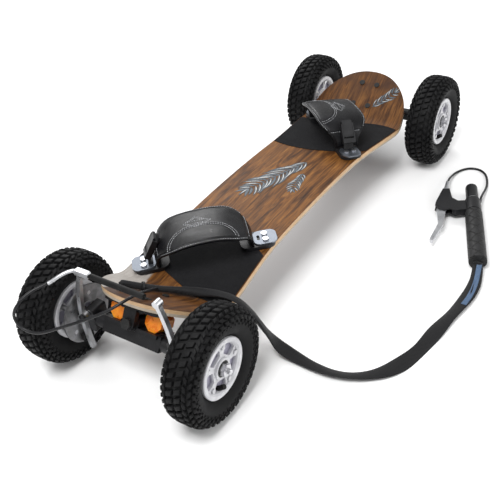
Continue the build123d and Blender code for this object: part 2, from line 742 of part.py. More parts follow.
def make_truck_bolts():
    grip = DECK_THICKNESS + BASEPLATE_THICKNESS
    with BuildPart() as bolts:
        for end in (1, -1):
            with BuildSketch(truck_plane(end)):
                with truck_bolt_grid():
                    Circle(TRUCK_BOLT_RADIUS * 2)
            extrude(amount=2.0)
            with BuildSketch(truck_plane(end)):
                with truck_bolt_grid():
                    Circle(TRUCK_BOLT_RADIUS)
            extrude(amount=-grip)
            with BuildSketch(truck_plane(end).offset(-grip)):
                with truck_bolt_grid():
                    RegularPolygon(5.0, 6, major_radius=False)
            extrude(amount=-5.0)
            pivot = pivot_plane(end)
            with BuildSketch(pivot):
                Circle(PIVOT_BOLT_RADIUS)
            extrude(amount=LUG_OUTER, both=True)
            for s, height in ((1, 6.0), (-1, 7.5)):
                with BuildSketch(pivot.offset(s * LUG_OUTER)):
                    RegularPolygon(8.5, 6, major_radius=False)
                extrude(amount=s * height)
    save(bolts, "truck_bolts")


# ---------------------------------------------------------------- rear brake
def make_brake_brackets():
    with BuildPart() as brackets:
        rear = -WHEELBASE / 2
        back = ARM_X + ARM_THICKNESS / 2 + 0.4
        for side in (1, -1):
            with BuildSketch(Plane.YZ.offset(back)):
                with Locations((side * BRACKET_Y, AXLE_HEIGHT + 2)):
                    RectangleRounded(BRACKET_WIDTH, 44, 4)
            extrude(amount=2 * (rear - back) + 4)
        with BuildSketch(axle_plane(-1)):
            Circle(HANGER_TUBE_RADIUS)
        extrude(amount=TRACK, both=True, mode=Mode.SUBTRACT)
        for side in (1, -1):
            with BuildSketch(Plane.YZ.offset(back)):
                with Locations((side * ARM_PIVOT_Y, ARM_PIVOT_Z)):
                    Circle(ARM_PIVOT_RADIUS)
            extrude(amount=-(ARM_THICKNESS + 1.6))
            with BuildSketch(Plane.YZ.offset(back - ARM_THICKNESS - 1.0)):
                with Locations((side * ARM_PIVOT_Y, ARM_PIVOT_Z)):
                    Circle(ARM_PIVOT_RADIUS + 2.5)
            extrude(amount=-3.0)
    save(brackets, "brake_brackets")


def make_brake_arm(name, side):
    with BuildPart() as arm:
        with BuildSketch(Plane.YZ.offset(ARM_X - ARM_THICKNESS / 2)):
            with BuildLine():
                blade = ThreePointArc(
                    (side * ARM_TOP_Y, ARM_TOP_Z),
                    (side * ARM_BULGE_Y, (ARM_TOP_Z + ARM_FOOT_Z) / 2),
                    (side * ARM_FOOT_Y, ARM_FOOT_Z),
                )
            trace(blade, ARM_WIDTH)
            with Locations((side * ARM_PIVOT_Y, ARM_PIVOT_Z)):
                Circle(ARM_PIVOT_RADIUS + 5)
                Circle(ARM_PIVOT_RADIUS + RUNNING_FIT, mode=Mode.SUBTRACT)
        extrude(amount=ARM_THICKNESS)
        with BuildSketch(Plane.XZ.offset(-side * PAD_BACK_Y)):
            with Locations((ARM_X, PAD_Z)):
                Circle(3.8)
        extrude(amount=side * (PAD_BACK_Y - ARM_BULGE_Y + 5))
        if side < 0:
            with BuildSketch(Plane.YZ.offset(ARM_X - ARM_THICKNESS / 2 - 2)):
                with Locations((side * ARM_TOP_Y, ARM_TOP_Z + 5)):
                    Circle(6.5)
            extrude(amount=ARM_THICKNESS + 4)
    save(arm, name + "_brake_arm")


def make_brake_pad(name, side):
    disc_face = TRACK / 2 - ROTOR_OFFSET
    back = PAD_BACK_Y + 0.05
    with BuildPart() as pad:
        with BuildSketch(Plane.XZ.offset(-side * back)):
            with Locations((ARM_X + 4, PAD_Z)):
                RectangleRounded(22, 15, 3)
        extrude(amount=-side * (disc_face - PAD_GAP - back))
    save(pad, name + "_brake_pad")


def make_noodle():
    with BuildPart() as noodle:
        with BuildSketch(Plane.YZ.offset(ARM_X - 4.5)):
            with Locations((71, LINK_Z)):
                RectangleRounded(30, 10, 3)
        extrude(amount=9)
        with BuildLine():
            bend = Spline((ARM_X, 85.5, LINK_Z), (-472, 101, 207), (-491, 115, 198), tangents=[(-0.4, 1, 0), (-0.74, 0.58, -0.3)])
        with BuildSketch(Plane(origin=bend @ 0, z_dir=bend % 0)):
            Circle(NOODLE_RADIUS)
        sweep(path=bend)
    save(noodle, "noodle")


def make_cable_boot():
    with BuildPart() as boot:
        with BuildSketch(Plane.XZ.offset(BOOT_HALF_LENGTH)):
            with Locations((ARM_X, LINK_Z)):
                Circle(BOOT_RADIUS)
        extrude(amount=-2 * BOOT_HALF_LENGTH)
        with BuildSketch(Plane.XZ.offset(BOOT_HALF_LENGTH)):
            with Locations((ARM_X, LINK_Z)):
                Circle(1.0)
        extrude(amount=14)
    save(boot, "cable_boot")


# ---------------------------------------------------------------- bindings
def make_binding_bases():
    with BuildPart() as bases:
        for x, y, heading in binding_places():
            with BuildSketch(deck_plane(x, y, heading, GRIP_THICKNESS + 0.3)):
                with Locations((BASE_SHIFT, 0)):
                    RectangleRounded(BASE_LENGTH, BASE_WIDTH, 14)
            extrude(amount=BASE_THICKNESS)
        for x, y, heading in binding_bolt_places():
            with BuildSketch(deck_plane(x, y, heading)):
                Circle(BINDING_BOLT_RADIUS + BOLT_CLEARANCE)
            extrude(amount=BASE_THICKNESS * 2, mode=Mode.SUBTRACT)
    save(bases, "binding_bases")


PLATE_HEIGHT = GRIP_THICKNESS + 0.3 + BASE_THICKNESS


def make_binding_plates():
    with BuildPart() as plates:
        for x, y, heading in binding_places():
            with BuildSketch(deck_plane(x, y, heading, PLATE_HEIGHT)):
                with Locations((PLATE_SHIFT, 0)):
                    RectangleRounded(PLATE_LENGTH, PLATE_WIDTH, 12)
                with Locations((PLATE_SHIFT - 12, 0)):
                    SlotOverall(14, 5, rotation=90, mode=Mode.SUBTRACT)
            extrude(amount=PLATE_THICKNESS)
        for x, y, heading in binding_bolt_places():
            with BuildSketch(deck_plane(x, y, heading)):
                Circle(BINDING_BOLT_RADIUS + BOLT_CLEARANCE)
            extrude(amount=PLATE_HEIGHT * 2, mode=Mode.SUBTRACT)
    save(plates, "binding_plates")


def make_binding_bolts():
    top = PLATE_HEIGHT + PLATE_THICKNESS + 0.15
    with BuildPart() as bolts:
        for x, y, heading in binding_bolt_places():
            with BuildSketch(deck_plane(x, y, heading, top)):
                Circle(BINDING_BOLT_RADIUS + 2.2)
            extrude(amount=2.6)
            with BuildSketch(deck_plane(x, y, heading, top)):
                Circle(BINDING_BOLT_RADIUS)
            extrude(amount=-(top + DECK_THICKNESS))
            with BuildSketch(deck_plane(x, y, heading, -DECK_THICKNESS - 0.1)):
                Circle(BINDING_BOLT_RADIUS + 4)
            extrude(amount=-3.0)
    save(bolts, "binding_bolts")


def binding_side_plane(name):
    """Origin on the deck at the binding's middle, local X along the strap, local Y up from the deck."""
    x, heading = BINDINGS[name]
    base = deck_plane(x, 0, heading)
    return Plane(origin=base.origin, x_dir=base.x_dir, z_dir=-base.y_dir)


def make_binding_pad(name):
    foot = PLATE_HEIGHT + PLATE_THICKNESS + 0.4
    inner = PAD_HALF_SPAN
    outer = PAD_HALF_SPAN + PAD_THICKNESS
    top = PAD_INNER_HEIGHT + PAD_THICKNESS
    with BuildPart() as pad:
        with BuildSketch(binding_side_plane(name)):
            with BuildLine():
                Spline(
                    (outer, foot), (outer * 0.74, top * 0.78), (0, top), (-outer * 0.74, top * 0.78), (-outer, foot),
                    tangents=[(-0.1, 1), (-0.1, -1)],
                )
                Spline(
                    (inner, foot), (inner * 0.72, PAD_INNER_HEIGHT * 0.76), (0, PAD_INNER_HEIGHT),
                    (-inner * 0.72, PAD_INNER_HEIGHT * 0.76), (-inner, foot),
                    tangents=[(-0.1, 1), (-0.1, -1)],
                )
                Line((outer, foot), (inner, foot))
                Line((-outer, foot), (-inner, foot))
            make_face()
        extrude(amount=PAD_WIDTH / 2, both=True)
        x, heading = BINDINGS[name]
        with BuildSketch(deck_plane(x, 0, heading)):
            with BuildLine():
                Spline(
                    (outer + 2, 20), (outer * 0.55, PAD_WIDTH / 2), (0, PAD_WIDTH / 2), (-outer * 0.55, PAD_WIDTH / 2), (-outer - 2, 20),
                )
                Line((-outer - 2, 20), (-outer - 2, -20))
                Spline(
                    (-outer - 2, -20), (-outer * 0.55, -PAD_WIDTH / 2), (0, -PAD_WIDTH / 2), (outer * 0.55, -PAD_WIDTH / 2), (outer + 2, -20),
                )
                Line((outer + 2, -20), (outer + 2, 20))
            make_face()
        extrude(amount=200, mode=Mode.INTERSECT)
    save(pad, name + "_binding_pad")


RATCHET_FOOT = (97.0, 23.0)
RATCHET_LEAN = 58.0
RATCHET_LENGTH = 40.0
RATCHET_WIDTH = 26.0
RATCHET_HEIGHT = 9.0


def ratchet_plane(name):
    """Origin at the ratchet's lower end, local X up along the pad's side, local Z away from the pad."""
    side = binding_side_plane(name)
    lean = radians(RATCHET_LEAN)
    origin = side.from_local_coords((RATCHET_FOOT[0], RATCHET_FOOT[1], 0))
    up = side.x_dir * -cos(lean) + side.y_dir * sin(lean)
    return Plane(origin=origin, x_dir=up, z_dir=side.x_dir * sin(lean) + side.y_dir * cos(lean))


def make_ladder_straps():
    lean = radians(RATCHET_LEAN)
    up = Vector(-cos(lean), sin(lean))
    outward = Vector(sin(lean), cos(lean))
    foot_z = PLATE_HEIGHT + PLATE_THICKNESS + 0.3 + STRAP_THICKNESS / 2
    bend = Vector(*RATCHET_FOOT) - outward * (STRAP_THICKNESS / 2 + 0.3)
    with BuildPart() as straps:
        for name in BINDINGS:
            with BuildSketch(binding_side_plane(name)):
                with BuildLine():
                    line = Polyline((91.5, foot_z), (98.5, foot_z), bend, bend + up * (RATCHET_LENGTH + 8))
                trace(line, STRAP_THICKNESS)
            extrude(amount=STRAP_WIDTH / 2, both=True)
    save(straps, "ladder_straps")


def make_ratchet_bodies():
    with BuildPart() as bodies:
        for name in BINDINGS:
            with BuildSketch(ratchet_plane(name)):
                with Locations((RATCHET_LENGTH / 2, 0)):
                    Rectangle(RATCHET_LENGTH, RATCHET_WIDTH)
            extrude(amount=RATCHET_HEIGHT)
            with BuildSketch(ratchet_plane(name).offset(2.5)):
                with Locations((RATCHET_LENGTH * 0.72, 0)):
                    Rectangle(RATCHET_LENGTH, RATCHET_WIDTH - 5)
            extrude(amount=RATCHET_HEIGHT, mode=Mode.SUBTRACT)
    save(bodies, "ratchet_bodies")


RATCHET_PIN_RADIUS = 2.6


def make_ratchet_lever(name):
    """A pawl lever between the body's cheeks, on a pin near its lower end."""
    width = RATCHET_WIDTH - 5 - 2 * FACE_GAP
    plane = ratchet_plane(name)
    pin = plane.from_local_coords((14, 0, 6.5))
    with BuildPart() as lever:
        with BuildSketch(ratchet_plane(name).offset(4.5)):
            with Locations((29, 0)):
                RectangleRounded(34, width, 3)
        extrude(amount=4.0)
        with BuildSketch(Plane(origin=pin, x_dir=plane.x_dir, z_dir=plane.y_dir)):
            Circle(RATCHET_PIN_RADIUS)
        extrude(amount=width / 2, both=True)
    save(lever, name + "_ratchet_lever")


# ---------------------------------------------------------------- brake handle
def make_handle_tube():
    with BuildPart() as tube:
        start = handle_plane()
        cross = Plane(origin=start.from_local_coords((GRIP_START + 2, 0, 0)), x_dir=start.y_dir, z_dir=start.x_dir)
        with BuildSketch(cross):
            Circle(HANDLE_TUBE_RADIUS)
        extrude(amount=CAP_START - GRIP_START - 2)
        cap = Plane(origin=start.from_local_coords((CAP_START, 0, 0)), x_dir=start.y_dir, z_dir=start.x_dir)
        with BuildSketch(cap):
            Circle(CAP_RADIUS)
        extrude(amount=HANDLE_LENGTH - CAP_START)
        fillet(tube.faces().sort_by(Axis(start.origin, start.x_dir))[-1].edges(), 3.5)
    save(tube, "handle_tube")


def handle_cross(along):
    base = handle_plane()
    return Plane(origin=base.from_local_coords((along, 0, 0)), x_dir=base.y_dir, z_dir=base.x_dir)


def make_handle_grip():
    with BuildPart() as grip:
        with BuildSketch(handle_cross(GRIP_START)):
            Circle(GRIP_RADIUS)
        extrude(amount=GRIP_END - GRIP_START)
        with BuildSketch(handle_cross(GRIP_START + 2)):
            Circle(HANDLE_TUBE_RADIUS)
        extrude(amount=GRIP_END, mode=Mode.SUBTRACT)
        fillet(grip.edges().filter_by(GeomType.CIRCLE).filter_by(lambda e: e.radius > 15), 2.0)
    save(grip, "handle_grip")


def make_lever_bracket():
    with BuildPart() as bracket:
        with BuildSketch(handle_plane(-BRACKET_THICKNESS / 2)):
            with BuildLine():
                Polyline(
                    (172, 8), (170, 24), (166, 36), (172, 48), (168, 58), (171, 70),
                    (184, 77), (198, 75), (248, 60), (249, 46), (214, 42), (203, 30), (206, 8),
                    close=True,
                )
            make_face()
        extrude(amount=BRACKET_THICKNESS)
        with BuildSketch(handle_cross(CLAMP_START)):
            Circle(CLAMP_RADIUS)
        extrude(amount=CLAMP_END - CLAMP_START)
        with BuildSketch(handle_cross(CLAMP_START)):
            Circle(HANDLE_TUBE_RADIUS)
        extrude(amount=CLAMP_END - CLAMP_START, mode=Mode.SUBTRACT)
        slot = LEVER_THICKNESS / 2 + FACE_GAP
        with BuildSketch(handle_plane()):
            with Locations((170, 67)):
                Rectangle(46, 50)
        extrude(amount=slot, both=True, mode=Mode.SUBTRACT)
        with BuildSketch(handle_plane()):
            with Locations(LEVER_PIVOT):
                Circle(2.5)
        extrude(amount=BRACKET_THICKNESS / 2, both=True)
    save(bracket, "lever_bracket")


def make_brake_lever():
    with BuildPart() as lever:
        with BuildSketch(handle_plane()):
            with BuildLine():
                Polyline(
                    (183, 58), (186, 66), (182, 72), (172, 74), (124, 71), (66, 89), (60, 84), (118, 62),
                    (166, 56), (174, 54),
                    close=True,
                )
            make_face()
            with Locations(LEVER_PIVOT):
                Circle(2.5 + RUNNING_FIT, mode=Mode.SUBTRACT)
        extrude(amount=LEVER_THICKNESS / 2, both=True)
        fillet(lever.edges().filter_by(Axis.Z).sort_by_distance(on_handle(60, 86, 17))[0:2], 2.0)
    save(lever, "brake_lever")


def adjuster_plane():
    base = handle_plane()
    turn = radians(-8.0)
    direction = base.x_dir * cos(turn) + base.y_dir * sin(turn)
    origin = base.from_local_coords((ADJUSTER_POINT[0] + FACE_GAP, ADJUSTER_POINT[1], 0))
    return Plane(origin=origin, z_dir=direction)


def make_cable_adjuster():
    with BuildPart() as adjuster:
        with BuildSketch(adjuster_plane()):
            RegularPolygon(6.5, 6)
        extrude(amount=5)
        with BuildSketch(adjuster_plane().offset(5)):
            Circle(5.6)
        extrude(amount=14, taper=4)
        with BuildSketch(adjuster_plane().offset(19)):
            Circle(4.2)
        extrude(amount=ADJUSTER_LENGTH - 19)
    save(adjuster, "cable_adjuster")


# ---------------------------------------------------------------- free cords
def corner_radii(points):
    """Largest arc that each corner's two runs allow: 0.45 of the shorter run over tan of half the turn."""
    radii = []
    for before, here, after in zip(points, points[1:], points[2:]):
        run_in = Vector(here) - Vector(before)
        run_out = Vector(after) - Vector(here)
        turn = radians(run_in.get_angle(run_out))
        radii.append(0.45 * min(run_in.length, run_out.length) / tan(turn / 2))
    return radii


def make_cord(label, points, radius):
    radii = corner_radii(points)
    with BuildPart() as cord:
        with BuildLine():
            path = FilletPolyline(*points, radius=radii)
        with BuildSketch(Plane(origin=path @ 0, z_dir=path % 0)):
            Circle(radius)
        sweep(path=path)
    expected = pi * radius**2 * path.length
    print(label, "smallest radius", round(min(radii), 1), "radii", [round(r) for r in radii])
    print(label, "length", round(path.length), "volume ratio", round(cord.part.volume / expected, 4))
    runs = [round((Vector(b) - Vector(a)).length) for a, b in zip(points, points[1:])]
    print(label, "runs", runs)
    save(cord, label)


# ---------------------------------------------------------------- build everything
def main():
    make_deck()
    make_grip_tape()
    for end_name, end in (("front", 1), ("rear", -1)):
        for side_name, side in (("left", 1), ("right", -1)):
            name = end_name + "_" + side_name
            make_tyre(name, end, side)
            make_inner_tube(name, end, side)
            make_hub_halves(name, end, side)
            make_bearings(name, end, side)
            make_hub_bolts(name, end, side)
            if end < 0:
                make_rotor(name, end, side)
        make_baseplate(end_name, end)
        make_hanger(end_name, end)
        make_axle(end_name, end)
        make_axle_nuts(end_name, end)
        make_shock_blocks(end_name, end)
        make_binding_pad(end_name)
        make_ratchet_lever(end_name)
    make_pivot_bushes()
    make_truck_bolts()
    make_brake_brackets()
    for side_name, side in (("left", 1), ("right", -1)):
        make_brake_arm(side_name, side)
        make_brake_pad(side_name, side)
    make_noodle()
    make_cable_boot()
    make_binding_bases()
    make_binding_plates()
    make_binding_bolts()
    make_ladder_straps()
    make_ratchet_bodies()
    make_handle_tube()
    make_handle_grip()
    make_lever_bracket()
    make_brake_lever()
    make_cable_adjuster()
    make_cord("brake_cable", BRAKE_CABLE_ROUTE, CABLE_RADIUS)
    make_cord("webbing_sleeve", SLEEVE_ROUTE, SLEEVE_RADIUS)
    handle_cable = [on_handle(*point) for point in HANDLE_CABLE_ROUTE]
    make_cord("handle_cable", handle_cable, CABLE_RADIUS)


main()
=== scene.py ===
"""Looks of the all-terrain skateboard: materials, treaded tyres, padded bindings, cords, light and camera."""

import json
from math import asin, cos, pi, radians, sin, sqrt, tan

import bmesh
import bpy
from mathutils import Matrix, Vector, noise


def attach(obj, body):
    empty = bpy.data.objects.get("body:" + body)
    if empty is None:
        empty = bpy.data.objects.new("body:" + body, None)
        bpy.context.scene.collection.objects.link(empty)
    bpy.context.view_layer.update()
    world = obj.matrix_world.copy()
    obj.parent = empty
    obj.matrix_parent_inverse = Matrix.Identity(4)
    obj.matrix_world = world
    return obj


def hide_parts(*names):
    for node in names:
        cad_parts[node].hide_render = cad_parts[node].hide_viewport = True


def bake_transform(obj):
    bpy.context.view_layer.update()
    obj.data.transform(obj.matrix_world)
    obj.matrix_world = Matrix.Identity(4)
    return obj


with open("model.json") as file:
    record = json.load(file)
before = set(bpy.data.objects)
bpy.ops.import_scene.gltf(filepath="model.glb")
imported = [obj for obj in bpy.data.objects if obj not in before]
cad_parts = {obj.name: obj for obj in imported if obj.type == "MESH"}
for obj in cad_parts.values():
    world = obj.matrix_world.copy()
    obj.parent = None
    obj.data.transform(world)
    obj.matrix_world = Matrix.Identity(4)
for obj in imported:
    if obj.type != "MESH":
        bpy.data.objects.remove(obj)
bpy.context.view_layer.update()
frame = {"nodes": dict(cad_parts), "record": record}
ROOT = "deck"
MM = 0.001

# ---------------------------------------------------------------- sizes shared with the CAD model, in metres
AXLE_X = 0.438
AXLE_HEIGHT = 0.1
HALF_TRACK = 0.1495
TRUCK_X = 0.398
TIP_ANGLE = radians(31.8)
TIP_SLOPE = tan(TIP_ANGLE)
TIP_RISE = 0.1517  # height of the deck's top at the truck's middle
ARCH_RADIUS = 2.736
CROWN = 0.1363
HANDLE_HEADING = radians(22.6)
HANDLE_END = (86.0, -387.0)  # in mm, as the cord routes are
HANDLE_HEIGHT = 0.0174
HANDLE_ACROSS = -0.3903  # distance of the handle's line from the origin, to its left

# ---------------------------------------------------------------- camera
CAMERA_TARGET = Vector((-0.0680, 0.0252, 0.0121))
CAMERA_AZIMUTH = radians(-54.28)
CAMERA_ELEVATION = radians(36.38)
CAMERA_ROLL = radians(-5.32)
CAMERA_DISTANCE = 1.577
CAMERA_LENS = 56.7


def make_camera():
    back = Vector(
        (
            sin(CAMERA_AZIMUTH) * cos(CAMERA_ELEVATION),
            -cos(CAMERA_AZIMUTH) * cos(CAMERA_ELEVATION),
            sin(CAMERA_ELEVATION),
        )
    )
    level = Vector((0, 0, 1)).cross(back).normalized()
    upright = back.cross(level)
    right = cos(CAMERA_ROLL) * level + sin(CAMERA_ROLL) * upright
    up = cos(CAMERA_ROLL) * upright - sin(CAMERA_ROLL) * level
    data = bpy.data.cameras.new("camera")
    data.lens = CAMERA_LENS
    data.sensor_width = 36
    camera = bpy.data.objects.new("camera", data)
    turn = Matrix((right, up, back)).transposed().to_4x4()
    camera.matrix_world = Matrix.Translation(CAMERA_TARGET + back * CAMERA_DISTANCE) @ turn
    bpy.context.scene.collection.objects.link(camera)
    bpy.context.scene.camera = camera


make_camera()


# ---------------------------------------------------------------- node helpers
class Surface:
    """A Principled material and short ways to add procedural nodes to it."""

    def __init__(self, name, color=(0.5, 0.5, 0.5), **sockets):
        self.material = bpy.data.materials.new(name)
        self.material.use_nodes = True
        self.tree = self.material.node_tree
        self.shader = self.tree.nodes["Principled BSDF"]
        self.shader.inputs["Base Color"].default_value = (*color, 1)
        for key, value in sockets.items():
            self.shader.inputs[key.replace("_", " ")].default_value = value

    def node(self, kind, settings=None, **inputs):
        made = self.tree.nodes.new(kind)
        for key, value in (settings or {}).items():
            setattr(made, key, value)
        for key, value in inputs.items():
            self.put(made.inputs[key.replace("_", " ")], value)
        return made

    def put(self, socket, value):
        if isinstance(value, bpy.types.NodeSocket):
            self.tree.links.new(value, socket)
        else:
            socket.default_value = value

    def place(self, scale=(1, 1, 1), turn=(0, 0, 0)):
        coords = self.node("ShaderNodeTexCoord").outputs["Object"]
        mapped = self.node("ShaderNodeMapping", Vector=coords, Scale=scale, Rotation=turn)
        return mapped.outputs["Vector"]

    def axes(self):
        coords = self.node("ShaderNodeTexCoord").outputs["Object"]
        return self.node("ShaderNodeSeparateXYZ", Vector=coords).outputs

    def math(self, kind, a, b=0.0, clamp=False):
        made = self.node("ShaderNodeMath", {"operation": kind, "use_clamp": clamp})
        self.put(made.inputs[0], a)
        self.put(made.inputs[1], b)
        return made.outputs[0]

    def noise(self, scale, detail=3.0, where=None, rough=0.55, distortion=0.0):
        made = self.node(
            "ShaderNodeTexNoise",
            Vector=where or self.place(),
            Scale=scale,
            Detail=detail,
            Roughness=rough,
            Distortion=distortion,
        )
        return made.outputs["Fac"]

    def cells(self, scale, where=None, feature="F1"):
        where = where or self.place()
        made = self.node("ShaderNodeTexVoronoi", {"feature": feature}, Vector=where, Scale=scale)
        return made.outputs["Distance"]

    def steps(self, fac, stops):
        """Straight map of a value between two (position, value) stops, held beyond them."""
        made = self.node("ShaderNodeMapRange", Value=fac)
        (low, a), (high, b) = stops
        self.put(made.inputs["From Min"], low)
        self.put(made.inputs["From Max"], high)
        self.put(made.inputs["To Min"], a)
        self.put(made.inputs["To Max"], b)
        return made.outputs["Result"]

    def ramp(self, fac, stops):
        made = self.node("ShaderNodeValToRGB", Fac=fac)
        ends = made.color_ramp.elements
        while len(ends) < len(stops):
            ends.new(0.5)
        for end, (position, color) in zip(ends, stops):
            end.position = position
            end.color = (*color, 1)
        return made.outputs["Color"]

    def grey(self, value):
        return self.node("ShaderNodeCombineColor", Red=value, Green=value, Blue=value).outputs[0]

    def mix(self, fac, a, b, kind="MIX"):
        made = self.node("ShaderNodeMix", {"data_type": "RGBA", "blend_type": kind})
        self.put(made.inputs[0], fac)
        for socket, value in ((made.inputs[6], a), (made.inputs[7], b)):
            self.put(socket, value if isinstance(value, bpy.types.NodeSocket) else (*value, 1))
        return made.outputs[2]

    def color(self, value):
        self.put(self.shader.inputs["Base Color"], value)

    def rough(self, value):
        self.put(self.shader.inputs["Roughness"], value)

    def bump(self, height, strength=0.4, distance=0.0006, after=None):
        made = self.node("ShaderNodeBump", Height=height, Strength=strength, Distance=distance)
        if after is not None:
            self.put(made.inputs["Normal"], after)
        self.put(self.shader.inputs["Normal"], made.outputs["Normal"])
        return made.outputs["Normal"]


# ---------------------------------------------------------------- materials
def rubber(name, tone, dust, gloss=0.5):
    s = Surface(name, tone, Specular_IOR_Level=0.14)
    wear = s.noise(38, 5)
    light = tuple(v + dust for v in tone)
    s.color(s.mix(s.steps(wear, ((0.42, 0.0), (0.72, 1.0))), tone, light))
    s.rough(s.steps(wear, ((0.3, gloss), (0.7, gloss + 0.22))))
    s.bump(s.noise(900, 3), 0.35, 0.0003)
    return s.material


def painted(name, tone, rough=0.32, grain=0.16, level=0.3):
    s = Surface(name, tone, Specular_IOR_Level=level)
    wear = s.noise(60, 6)
    scuff = s.noise(420, 3, s.place((1, 1, 0.2)))
    wide = s.steps(wear, ((0.45, 0.0), (0.75, 1.0)))
    worn = s.math("MULTIPLY", wide, s.steps(scuff, ((0.45, 0.0), (0.7, 1.0))))
    s.color(s.mix(worn, tone, tuple(v * 1.35 + 0.012 for v in tone)))
    s.rough(s.steps(wear, ((0.3, rough), (0.7, rough + 0.14))))
    s.bump(s.noise(1400, 2), grain, 0.0002)
    return s.material


def metal(name, tone, rough, stretch=(1, 1, 1), scratch=0.12, scale=900):
    s = Surface(name, tone, Metallic=1.0)
    lines = s.noise(scale, 3, s.place(stretch))
    cloud = s.noise(45, 4)
    s.color(s.mix(s.steps(cloud, ((0.3, 0.0), (0.7, 1.0))), tuple(v * 0.8 for v in tone), tone))
    brushed = s.steps(lines, ((0.3, rough - 0.06), (0.7, rough + 0.1)))
    s.rough(s.math("ADD", brushed, s.steps(cloud, ((0.4, 0.0), (0.8, 0.1)))))
    s.bump(lines, scratch, 0.00015)
    return s.material


POCKET_FLOOR = 0.0112  # from the wheel's mid-plane
POCKET_EDGE = 0.0150


def hub_paint():
    """Pale paint, with painted shade that makes it a little greyer on the floors of the pockets."""
    s = Surface("hub_paint", (0.6, 0.6, 0.62), Specular_IOR_Level=0.5)
    y = s.axes()[1]
    from_middle = s.math("ABSOLUTE", s.math("SUBTRACT", s.math("ABSOLUTE", y), HALF_TRACK))
    wear = s.noise(60, 5)
    outer = s.mix(s.steps(wear, ((0.35, 0.0), (0.75, 1.0))), (0.62, 0.62, 0.64), (0.48, 0.48, 0.50))
    # painted shade: everything within POCKET_FLOOR of the wheel's mid-plane, the pocket floors among it,
    # takes a darker lilac grey
    s.color(s.mix(s.steps(from_middle, ((POCKET_FLOOR, 0.0), (POCKET_EDGE, 1.0))), (0.30, 0.29, 0.36), outer))
    s.rough(s.steps(wear, ((0.3, 0.28), (0.7, 0.42))))
    s.bump(s.noise(1400, 2), 0.08, 0.0002)
    return s.material


TURNING_RATE = 9000.0  # radians of ring pattern per metre of radius


def turned_disc(name):
    """Brake disc: rings cut around the axle."""
    s = Surface(name, (0.3, 0.3, 0.31), Metallic=0.9)
    x, _, z = s.axes()
    dx = s.math("ADD", x, AXLE_X)
    dz = s.math("SUBTRACT", z, AXLE_HEIGHT)
    r = s.math("SQRT", s.math("ADD", s.math("MULTIPLY", dx, dx), s.math("MULTIPLY", dz, dz)))
    rings = s.math("SINE", s.math("MULTIPLY", r, TURNING_RATE))
    cloud = s.noise(70, 4)
    s.color(s.mix(s.steps(cloud, ((0.35, 0.0), (0.7, 1.0))), (0.19, 0.19, 0.195), (0.36, 0.36, 0.37)))
    s.rough(s.steps(cloud, ((0.3, 0.32), (0.7, 0.48))))
    s.bump(rings, 0.14, 0.00008)
    return s.material


def deck_top(x):
    """Height of the deck's top surface."""
    arch = CROWN - ARCH_RADIUS + sqrt(ARCH_RADIUS**2 - x**2)
    tip = TIP_RISE + (abs(x) - TRUCK_X) * TIP_SLOPE
    return max(arch, tip)


def blob(s, x, y, centre, size, wobble, soft=0.25):
    """1 inside an ellipse with a wandering edge, 0 outside."""
    dx = s.math("DIVIDE", s.math("SUBTRACT", x, centre[0]), size[0])
    dy = s.math("DIVIDE", s.math("SUBTRACT", y, centre[1]), size[1])
    d = s.math("SQRT", s.math("ADD", s.math("MULTIPLY", dx, dx), s.math("MULTIPLY", dy, dy)))
    d = s.math("ADD", d, s.math("MULTIPLY", s.math("SUBTRACT", wobble, 0.5), 0.9))
    return s.steps(d, ((1.0, 1.0), (1.0 + soft, 0.0)))


PLY = 0.0016
LOWER_PLIES = 0.0082  # depth at which the greyer plies begin


